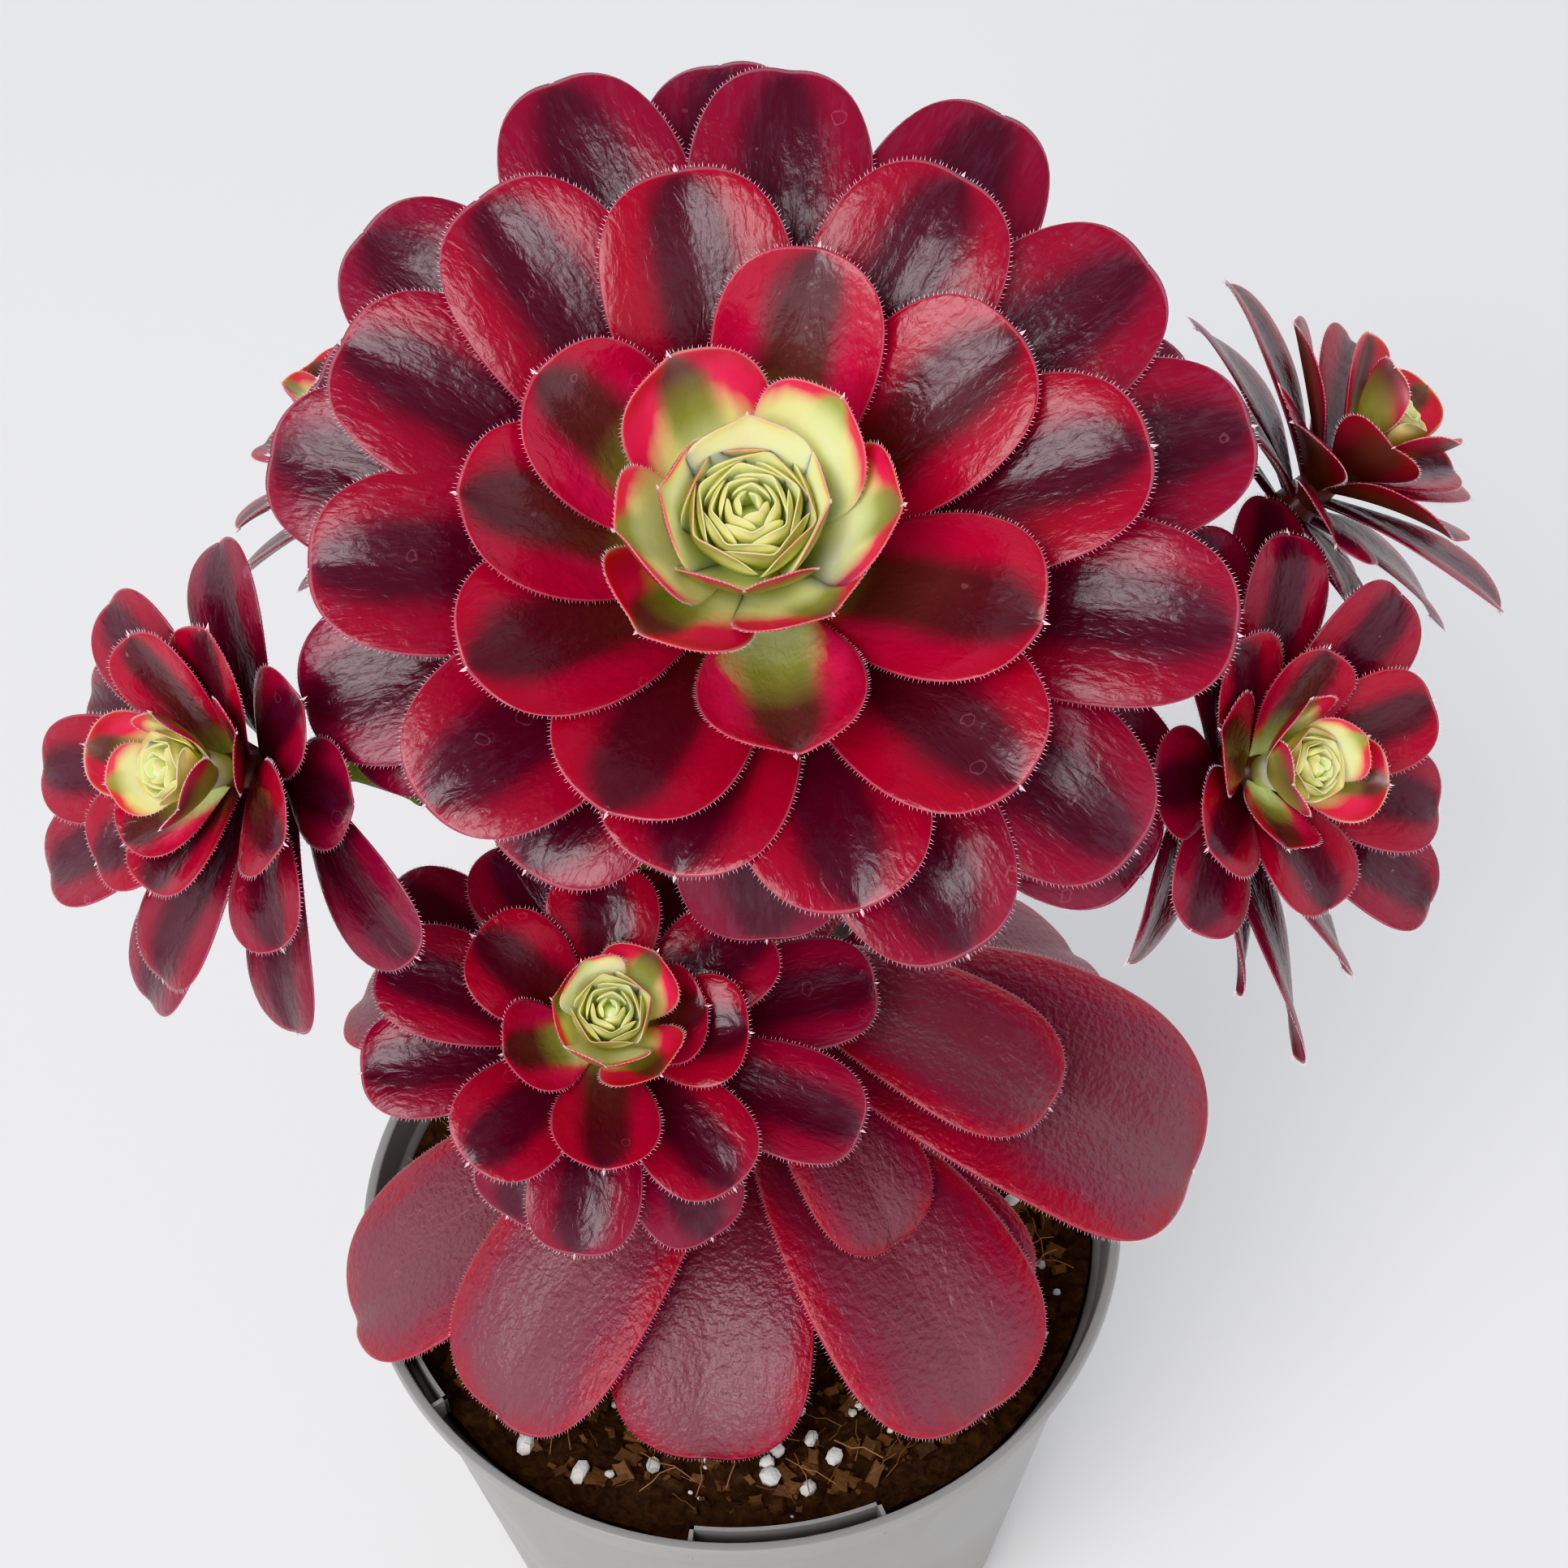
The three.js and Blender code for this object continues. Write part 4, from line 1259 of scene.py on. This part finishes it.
class AEONIUM_OT_add_pot(bpy.types.Operator):
    """Adds the nursery pot with its rim band, drain holes and label pockets"""

    bl_idname = "aeonium.add_pot"
    bl_label = "Add pot"

    def execute(self, context):
        """Extrudes the wall ring by ring, cuts the drain holes and adds the pockets."""
        look = context.scene.aeonium_pot
        # From the pad out to the foot, up the outside, over the rim and down inside to the floor.
        profile = [
            (21.5, FOOT_LIFT), (51.5, FOOT_LIFT), (53.0, 0.0), (BASE_RADIUS, 0.0),
            (BODY_TOP_RADIUS, BAND_BOTTOM), (BAND_RADIUS, BAND_BOTTOM + 1), (84.2, 127.6),
            (RIM_RADIUS, 128.2), (84.7, POT_HEIGHT), (RIM_RADIUS - RIM_WIDTH, POT_HEIGHT),
            (80.9, 121.4), (79.1, 120.0), (BASE_RADIUS - WALL, FLOOR_TOP),
        ]
        disc = {"vertices": look.sides, "radius": PAD_RADIUS * MM, "fill_type": "NGON"}
        pot = primitive(bpy.ops.mesh.primitive_circle_add, **disc)
        pot.name = "nursery_pot"
        edit_all()
        bpy.ops.mesh.select_mode(type="EDGE")
        bpy.ops.mesh.flip_normals()
        bpy.ops.mesh.region_to_loop()
        radius, height = PAD_RADIUS, 0.0
        for next_radius, next_height in profile:
            step = (0, 0, (next_height - height) * MM)
            bpy.ops.mesh.extrude_edges_move(TRANSFORM_OT_translate={"value": step})
            share = next_radius / radius
            bpy.ops.transform.resize(value=(share, share, 1), center_override=(0, 0, next_height * MM))
            radius, height = next_radius, next_height
        bpy.ops.mesh.edge_face_add()
        leave_edit(outward=True)
        sharp = {"limit_method": "ANGLE", "angle_limit": math.radians(18)}
        apply_modifier(pot, "BEVEL", width=look.edge_radius, segments=3, **sharp)
        for k in range(DRAIN_COUNT):
            turn = 2 * math.pi * k / DRAIN_COUNT
            x, y = DRAIN_RING_RADIUS * math.cos(turn), DRAIN_RING_RADIUS * math.sin(turn)
            hole = {"radius": DRAIN_RADIUS * MM, "depth": DRILL_LENGTH * MM}
            hole["location"] = (x * MM, y * MM, DRILL_MIDDLE * MM)
            drill = primitive(bpy.ops.mesh.primitive_cylinder_add, vertices=32, **hole)
            apply_modifier(pot, "BOOLEAN", object=drill, operation="DIFFERENCE", solver="EXACT")
            bpy.data.objects.remove(drill)
        join_into(pot, [part for pocket in POCKETS for part in self.pocket(*pocket)])
        smooth(pot, 32)
        paint(pot, make_pot_material(look))
        finish_piece(pot, ["pot"])
        return {"FINISHED"}

    @staticmethod
    def pocket(azimuth, span):
        """A label pocket: a curved strip with a web at each end that joins the rim."""
        inner = POCKET_OUTER - POCKET_THICKNESS
        wall = RIM_RADIUS - RIM_WIDTH + 0.8
        web = math.degrees(POCKET_THICKNESS / POCKET_OUTER)
        parts_of_pocket = [
            (azimuth - span / 2, span, inner, POCKET_OUTER, 24),
            (azimuth - span / 2, web, inner, wall, 2),
            (azimuth + span / 2 - web, web, inner, wall, 2),
        ]
        made = []
        for start, sweep, near, far, steps in parts_of_pocket:
            middle = ((near + far) / 2 * MM, 0, (POCKET_TOP - POCKET_HEIGHT / 2) * MM)
            upright = {"location": middle, "rotation": (math.pi / 2, 0, 0)}
            strip = primitive(bpy.ops.mesh.primitive_plane_add, size=1, **upright)
            bpy.ops.object.transform_apply(location=True, rotation=True, scale=True)
            edit_all()
            size = ((far - near) * MM, 1, POCKET_HEIGHT * MM)
            bpy.ops.transform.resize(value=size, center_override=middle)
            bpy.ops.mesh.spin(steps=steps, angle=math.radians(sweep), center=(0, 0, 0), axis=(0, 0, -1))
            leave_edit(outward=True)
            strip.data.transform(Matrix.Rotation(math.radians(start), 4, "Z"))
            made.append(strip)
        return made


class AEONIUM_OT_add_soil(bpy.types.Operator):
    """Adds the potting soil with its bark chips, fibres and perlite"""

    bl_idname = "aeonium.add_soil"
    bl_label = "Add soil"

    def execute(self, context):
        """Rounds a grid to a disc, raises its crumbs and scatters the loose bits."""
        look = context.scene.aeonium_soil
        rng = random.Random(11)
        soil = self.peat_body()
        paint(soil, make_soil_material(look))
        finish_piece(soil, ["soil"])
        dark, pale, grey = lit(look.peat, 1.2), lit(look.bark, 1.5), lit(look.grain, 0.6)
        chip_finish = make_toned_material("Bark chips", dark, look.bark, 0.85, 900, 0.5)
        fibre_finish = make_toned_material("Fibres", look.bark, pale, 0.8, 500, 0.1)
        grain_finish = make_toned_material("Perlite", grey, look.grain, 0.9, 1500, 0.25)
        for name, master, count, finish in (
            ("soil_chips", self.chip_master(), look.chips, chip_finish),
            ("soil_fibres", self.fibre_master(), look.fibres, fibre_finish),
            ("soil_perlite", self.grain_master(), look.perlite, grain_finish),
        ):
            bits = self.scatter(name, master, count, rng, **LOOSE_BITS[name])
            paint(bits, finish)
            finish_piece(bits)
        return {"FINISHED"}

    @staticmethod
    def height(x, y):
        """The height of the soil's uneven top, without its crumbs."""
        lump = math.sin(x * 0.11 + 1.3) * math.cos(y * 0.13) + 0.6 * math.sin(x * 0.23 - y * 0.19)
        return SOIL_TOP + 1.2 * lump

    @classmethod
    def top(cls, x, y):
        """The height of the soil's top with its crumbs."""
        crumb = 1.1 * noise.noise(Vector((x * 0.22, y * 0.22, 3.0)))
        crumb += 1.3 * abs(noise.noise(Vector((x * 0.6, y * 0.6, 7.0))))
        crumb += 0.6 * noise.noise(Vector((x * 1.3, y * 1.3, 1.0)))
        return cls.height(x, y) + crumb - 0.4

    def peat_body(self):
        """The body of peat, with a crumbled top."""
        soil = square_grid("peat", SOIL_CELLS, SOIL_CELLS)
        points, _ = mesh_arrays(soil.data)
        x = points[:, 0] * np.sqrt(1 - points[:, 1] ** 2 / 2) * SOIL_RADIUS
        y = points[:, 1] * np.sqrt(1 - points[:, 0] ** 2 / 2) * SOIL_RADIUS
        for vertex, px, py in zip(soil.data.vertices, x, y):
            vertex.co = Vector((px, py, self.top(px, py))) * MM
        edit_all()
        bpy.ops.mesh.select_mode(type="EDGE")
        bpy.ops.mesh.region_to_loop()
        sunk = (0, 0, (SOIL_FLOOR - SOIL_TOP) * MM)
        bpy.ops.mesh.extrude_edges_move(TRANSFORM_OT_translate={"value": sunk})
        share = SOIL_BOTTOM_RADIUS / SOIL_RADIUS
        bpy.ops.transform.resize(value=(share, share, 0), center_override=(0, 0, SOIL_FLOOR * MM))
        bpy.ops.mesh.edge_face_add()
        leave_edit(outward=True)
        smooth(soil, 50)
        return soil

    @staticmethod
    def chip_master():
        """A split bark chip, about one long."""
        chip = primitive(bpy.ops.mesh.primitive_cube_add, size=1)
        edit_all()
        bpy.ops.mesh.subdivide(number_cuts=1)
        bpy.ops.transform.vertex_random(offset=0.30, seed=4)
        leave_edit()
        return chip

    @staticmethod
    def grain_master():
        """A rounded perlite grain, one in radius."""
        grain = primitive(bpy.ops.mesh.primitive_uv_sphere_add, segments=8, ring_count=5, radius=1)
        edit_all()
        bpy.ops.transform.vertex_random(offset=0.16, seed=2)
        leave_edit()
        return grain

    @staticmethod
    def fibre_master():
        """A thin crooked fibre, one long."""
        lying = {"depth": 1, "rotation": (0, math.pi / 2, 0)}
        fibre = primitive(bpy.ops.mesh.primitive_cylinder_add, vertices=4, radius=0.012, **lying)
        bpy.ops.object.transform_apply(location=True, rotation=True, scale=True)
        for place in (-0.3, -0.1, 0.1, 0.3):
            edit_all()
            bpy.ops.mesh.bisect(plane_co=(place, 0, 0), plane_no=(1, 0, 0))
            leave_edit()
        for vertex in fibre.data.vertices:
            x = vertex.co.x
            vertex.co.y += 0.08 * math.sin(4 * x) + 0.02 * math.sin(13 * x)
            vertex.co.z += 0.05 * math.sin(4 * x + 1)
        return fibre

    def scatter(self, name, master, count, rng, sizes, lift, shares):
        """Scatters copies of a master over the soil, most of them small and partly sunk."""
        placements, tones = [], []
        for _ in range(count):
            radius = (SOIL_RADIUS - CLEAR_OF_WALL) * math.sqrt(rng.random())
            turn = rng.uniform(0, 2 * math.pi)
            size = mix(sizes, rng.random() ** 1.6)
            x, y = radius * math.cos(turn), radius * math.sin(turn)
            place = Vector((x, y, self.top(x, y) + lift * size * min(shares))) * MM
            angles = [rng.uniform(-0.5, 0.5), rng.uniform(-0.4, 0.4), rng.uniform(0, RANDOM_TURN)]
            turned = Euler(angles).to_matrix().to_4x4()
            scaled = Matrix.Diagonal((*(s * size * rng.uniform(0.8, 1.2) * MM for s in shares), 1))
            placements.append(Matrix.Translation(place) @ turned @ scaled)
            tones.append(rng.random())
        made = copies_as_one(name, master, placements, tones)
        bpy.data.objects.remove(master)
        smooth(made, 40)
        return made


class AEONIUM_OT_add_stems(bpy.types.Operator):
    """Adds the trunk and the branches with their leaf scars"""

    bl_idname = "aeonium.add_stems"
    bl_label = "Add stems"

    def execute(self, context):
        """Sweeps each limb along its line and raises its leaf scars."""
        rng = random.Random(5)
        limbs = []
        for head in HEADS:
            axis, _, seat = crown_seat(head)
            neck = seat - axis * NECK_LENGTH
            end = seat + axis * 0.6
            if "branch_from" in head:
                start = trunk_at(head["branch_from"])
                shoulder = (start + neck) / 2
                shoulder[2] -= BRANCH_SAG * np.linalg.norm(neck - start)
                limbs.append(self.limb([start, shoulder, neck, end], BRANCH_RADII, 0.35, rng))
            else:
                path = [*map(np.array, TRUNK_PATH), neck, end]
                limbs.append(self.limb(path, TRUNK_RADII, 1.0, rng))
        stems = limbs[0]
        stems.name = "stems"
        join_into(stems, limbs[1:])
        smooth(stems)
        paint(stems, make_bark_material(context.scene.aeonium_stem))
        finish_piece(stems, ["trunk"])
        return {"FINISHED"}

    @staticmethod
    def limb(path, radii, brown, rng):
        """One limb, with crescent scars in a spiral and slight swellings."""
        length = float(distance_along(smooth_line(path, 60))[-1])
        steps = int(length / RING_GAP)
        turns = np.linspace(0, 2 * math.pi, LIMB_SIDES, endpoint=False)
        scars = []
        for k in range(int(length / SCAR_GAP)):
            height = k * SCAR_GAP + rng.uniform(-0.5, 0.5)
            scars.append((height, math.radians(k * GOLDEN_ANGLE) + rng.uniform(-0.2, 0.2)))
        rings, stem = [], []
        for place, share in zip(np.linspace(0, length, steps), np.linspace(0, 1, steps)):
            radius = mix(radii, share) * (1 + 0.025 * math.sin(place * 0.42))
            relief, dark = np.zeros(LIMB_SIDES), np.zeros(LIMB_SIDES)
            for height, azimuth in scars:
                above = place - height
                if abs(above) > SCAR_REACH:
                    continue
                beside = np.angle(np.exp(1j * (turns - azimuth))) * radius
                across = beside / 2.6
                up = (above - 0.3 * across**2) / 0.75
                relief += SCAR_RELIEF * np.exp(-(up**2) - across**2)
                dark += np.exp(-((above / 0.55) ** 2) - (beside / 1.7) ** 2)
            rings.append(radius + relief)
            browner = np.full(LIMB_SIDES, brown * (1 - 0.6 * share))
            stem.append(np.stack([np.clip(dark, 0, 1), browner, np.zeros(LIMB_SIDES)], 1))
        made = tube("limb", smooth_line(path, steps), rings, LIMB_SIDES)
        set_attribute(made.data, "stem", np.concatenate(stem))
        return made


class AEONIUM_OT_add_rosettes(bpy.types.Operator):
    """Adds the six rosettes, each with its heart, its crimson leaves and their hairs"""

    bl_idname = "aeonium.add_rosettes"
    bl_label = "Add rosettes"

    def execute(self, context):
        """Lays every leaf from a flat blade that was modelled once."""
        look = context.scene.aeonium_leaf
        finish = make_leaf_materials(look)
        rose, crimson, under = finish["Heart leaf"], finish["Crimson leaf"], finish["Leaf underside"]
        hair = make_hair_material()
        broad = model_blade("broad_blade", 12, 16, HEAD_FULLNESS)
        small = model_blade("small_blade", 8, 12, HEAD_FULLNESS)
        for number, head in enumerate(HEADS):
            name, rng = head["name"], random.Random(100 + number)
            inner, young, grown = leaf_specs(head, rng)
            blade = broad if name == "main" else small
            bud = leaves_object("bud", small, inner, rose, under)
            heart = leaves_object(f"{name}_rose", blade, young, rose, under)
            crown, core = self.crown_and_core(head, under, rose)
            join_into(heart, [bud, core])
            leaves = leaves_object(f"{name}_rosette", blade, grown, crimson, under)
            join_into(leaves, [crown])
            hairs = hairs_object(f"{name}_hairs", young + grown, look, rng)
            paint(hairs, hair)
            finish_piece(heart, [f"{name}_heart"])
            finish_piece(leaves, [f"{name}_leaves"])
            finish_piece(hairs)
        bpy.data.objects.remove(broad)
        bpy.data.objects.remove(small)
        return {"FINISHED"}

    @staticmethod
    def crown_and_core(head, crown_finish, core_finish):
        """The stem's end that carries the leaves, and the bulb inside the bud."""
        axis, length, _ = crown_seat(head)
        apex, radius, bud = np.array(head["apex"], float), head["core_radius"], head["bud_height"]
        bottom = head["drop"] * head["heart_leaves"] / len(head["leaves"]) + 1.5
        crown_rings = [
            (length, 0.85 * radius),
            (head["drop"] + COLLAR_SHARE * radius, radius),
            (bottom + 0.3, 0.66 * radius),
        ]
        core_rings = [
            (bottom, 0.6 * radius),
            (-0.2 * bud, 0.52 * bud),
            (-0.8 * bud, 0.42 * bud),
            (-1.15 * bud, 0.22 * bud),
            (-1.42 * bud, 0.05 * bud),
        ]
        bodies = []
        for name, rings, finish, age in (
            ("crown", crown_rings, crown_finish, CROWN_AGE),
            ("core", core_rings, core_finish, CORE_AGE),
        ):
            centres = [apex - axis * depth for depth, _ in rings]
            body = tube(name, centres, [ring_radius for _, ring_radius in rings], 20)
            count = len(body.data.vertices)
            set_attribute(body.data, "blade", np.tile([0.0, 0.1, 0.3], (count, 1)))
            set_attribute(body.data, "growth", np.tile([age, 0.5, 10.0], (count, 1)))
            paint(body, finish)
            smooth(body)
            bodies.append(body)
        return bodies


class AEONIUM_OT_add_lower_leaves(bpy.types.Operator):
    """Adds the big old leaves low on the trunk"""

    bl_idname = "aeonium.add_lower_leaves"
    bl_label = "Add lower leaves"

    def execute(self, context):
        """Lays each old leaf from a flat blade, each as a piece of its own."""
        look = context.scene.aeonium_leaf
        blade = model_blade("old_blade", 14, 20, OLD_FULLNESS)
        top, under = bpy.data.materials["Old leaf"], bpy.data.materials["Leaf underside"]
        rng = random.Random(40)
        for i, spec in enumerate(lower_leaf_specs(rng)):
            leaf = leaves_object(f"old_leaf_{i + 1}", blade, [spec], top, under)
            finish_piece(leaf, [f"lower_leaf_{i + 1}"])
            hairs = hairs_object(f"old_leaf_{i + 1}_hairs", [spec], look, rng)
            paint(hairs, bpy.data.materials["Leaf hair"])
            finish_piece(hairs)
        bpy.data.objects.remove(blade)
        return {"FINISHED"}


class AEONIUM_OT_add_stage(bpy.types.Operator):
    """Adds the pale floor, the soft lights and the camera"""

    bl_idname = "aeonium.add_stage"
    bl_label = "Add stage"

    def execute(self, context):
        """Places floor, lights, sky and the photograph's camera."""
        look = context.scene.aeonium_stage
        floor = primitive(bpy.ops.mesh.primitive_plane_add, size=8, location=(0, 0, -0.0005))
        floor.name = "floor"
        paint(floor, new_material("Floor", Base_Color=(*look.floor, 1), Roughness=0.8)[0])
        self.area_light("key", look.key_power)
        context.scene.world = self.sky(look)
        context.scene.view_settings.view_transform = "Khronos PBR Neutral"
        self.camera(context.scene)
        return {"FINISHED"}

    @staticmethod
    def sky(look):
        """Soft light from all round, brighter low down than overhead."""
        world = bpy.data.worlds.new("Sky")
        world.use_nodes = True
        tree = world.node_tree
        background = tree.nodes["Background"].inputs
        background["Color"].default_value = SKY_TINT
        height = parts(tree, put(tree, "ShaderNodeTexCoord").outputs["Generated"])["Z"]
        feed(background["Strength"], height.ramp(0.35, 0.85, look.horizon, look.zenith))
        return world

    @staticmethod
    def area_light(name, power):
        """A large soft light that looks at the plant."""
        data = bpy.data.lights.new(name, "AREA")
        data.energy, data.size, data.color = power, KEY_SIZE, KEY_TINT
        light = bpy.data.objects.new(name, data)
        light.location = KEY_PLACE
        aim = Vector((0, 0, 0.25)) - Vector(KEY_PLACE)
        light.rotation_euler = aim.to_track_quat("-Z", "Y").to_euler()
        bpy.context.scene.collection.objects.link(light)

    @staticmethod
    def camera(scene):
        """The camera at the photograph's place and angle."""
        data = bpy.data.cameras.new("camera")
        data.lens = CAMERA_LENS
        data.sensor_width = 36
        data.clip_start, data.clip_end = 0.02, 20
        camera = bpy.data.objects.new("camera", data)
        pitch, roll = math.radians(CAMERA_PITCH), math.radians(CAMERA_ROLL)
        right = Vector((1, 0, 0))
        up = Vector((0, math.sin(pitch), math.cos(pitch)))
        back = Vector((0, -math.cos(pitch), math.sin(pitch)))
        turned_right = right * math.cos(roll) + up * math.sin(roll)
        turned_up = up * math.cos(roll) - right * math.sin(roll)
        frame_axes = Matrix((turned_right, turned_up, back)).transposed().to_4x4()
        camera.matrix_world = Matrix.Translation(Vector(CAMERA_PLACE) * MM) @ frame_axes
        scene.collection.objects.link(camera)
        scene.camera = camera


class AEONIUM_PT_panel(bpy.types.Panel):
    """Lists the steps that build the plant"""

    bl_idname = "AEONIUM_PT_panel"
    bl_label = "Potted aeonium"
    bl_space_type = "VIEW_3D"
    bl_region_type = "UI"
    bl_category = "Aeonium"

    def draw(self, context):
        """Draws one button for each step, and its settings."""
        for operator, props in STEPS:
            self.layout.operator(operator.bl_idname)
            if props:
                settings = getattr(context.scene, props)
                column = self.layout.column(align=True)
                for key in type(settings).__annotations__:
                    column.prop(settings, key)


STEPS = [
    (AEONIUM_OT_add_pot, "aeonium_pot"),
    (AEONIUM_OT_add_soil, "aeonium_soil"),
    (AEONIUM_OT_add_stems, "aeonium_stem"),
    (AEONIUM_OT_add_rosettes, "aeonium_leaf"),
    (AEONIUM_OT_add_lower_leaves, None),
    (AEONIUM_OT_add_stage, "aeonium_stage"),
]

PROPS = {
    "aeonium_pot": AeoniumPotProps,
    "aeonium_soil": AeoniumSoilProps,
    "aeonium_stem": AeoniumStemProps,
    "aeonium_leaf": AeoniumLeafProps,
    "aeonium_stage": AeoniumStageProps,
}


def register():
    """Registers the settings, the operators and the panel."""
    for name, group in PROPS.items():
        bpy.utils.register_class(group)
        setattr(bpy.types.Scene, name, PointerProperty(type=group))
    for operator, _ in STEPS:
        bpy.utils.register_class(operator)
    bpy.utils.register_class(AEONIUM_PT_panel)


def unregister():
    """Takes away what register added."""
    bpy.utils.unregister_class(AEONIUM_PT_panel)
    for operator, _ in reversed(STEPS):
        bpy.utils.unregister_class(operator)
    for name, group in PROPS.items():
        delattr(bpy.types.Scene, name)
        bpy.utils.unregister_class(group)


def main():
    """Builds the plant and its stage."""
    register()
    bpy.ops.aeonium.add_pot()
    bpy.ops.aeonium.add_soil()
    bpy.ops.aeonium.add_stems()
    bpy.ops.aeonium.add_rosettes()
    bpy.ops.aeonium.add_lower_leaves()
    bpy.ops.aeonium.add_stage()


if __name__ == "__main__":
    main()
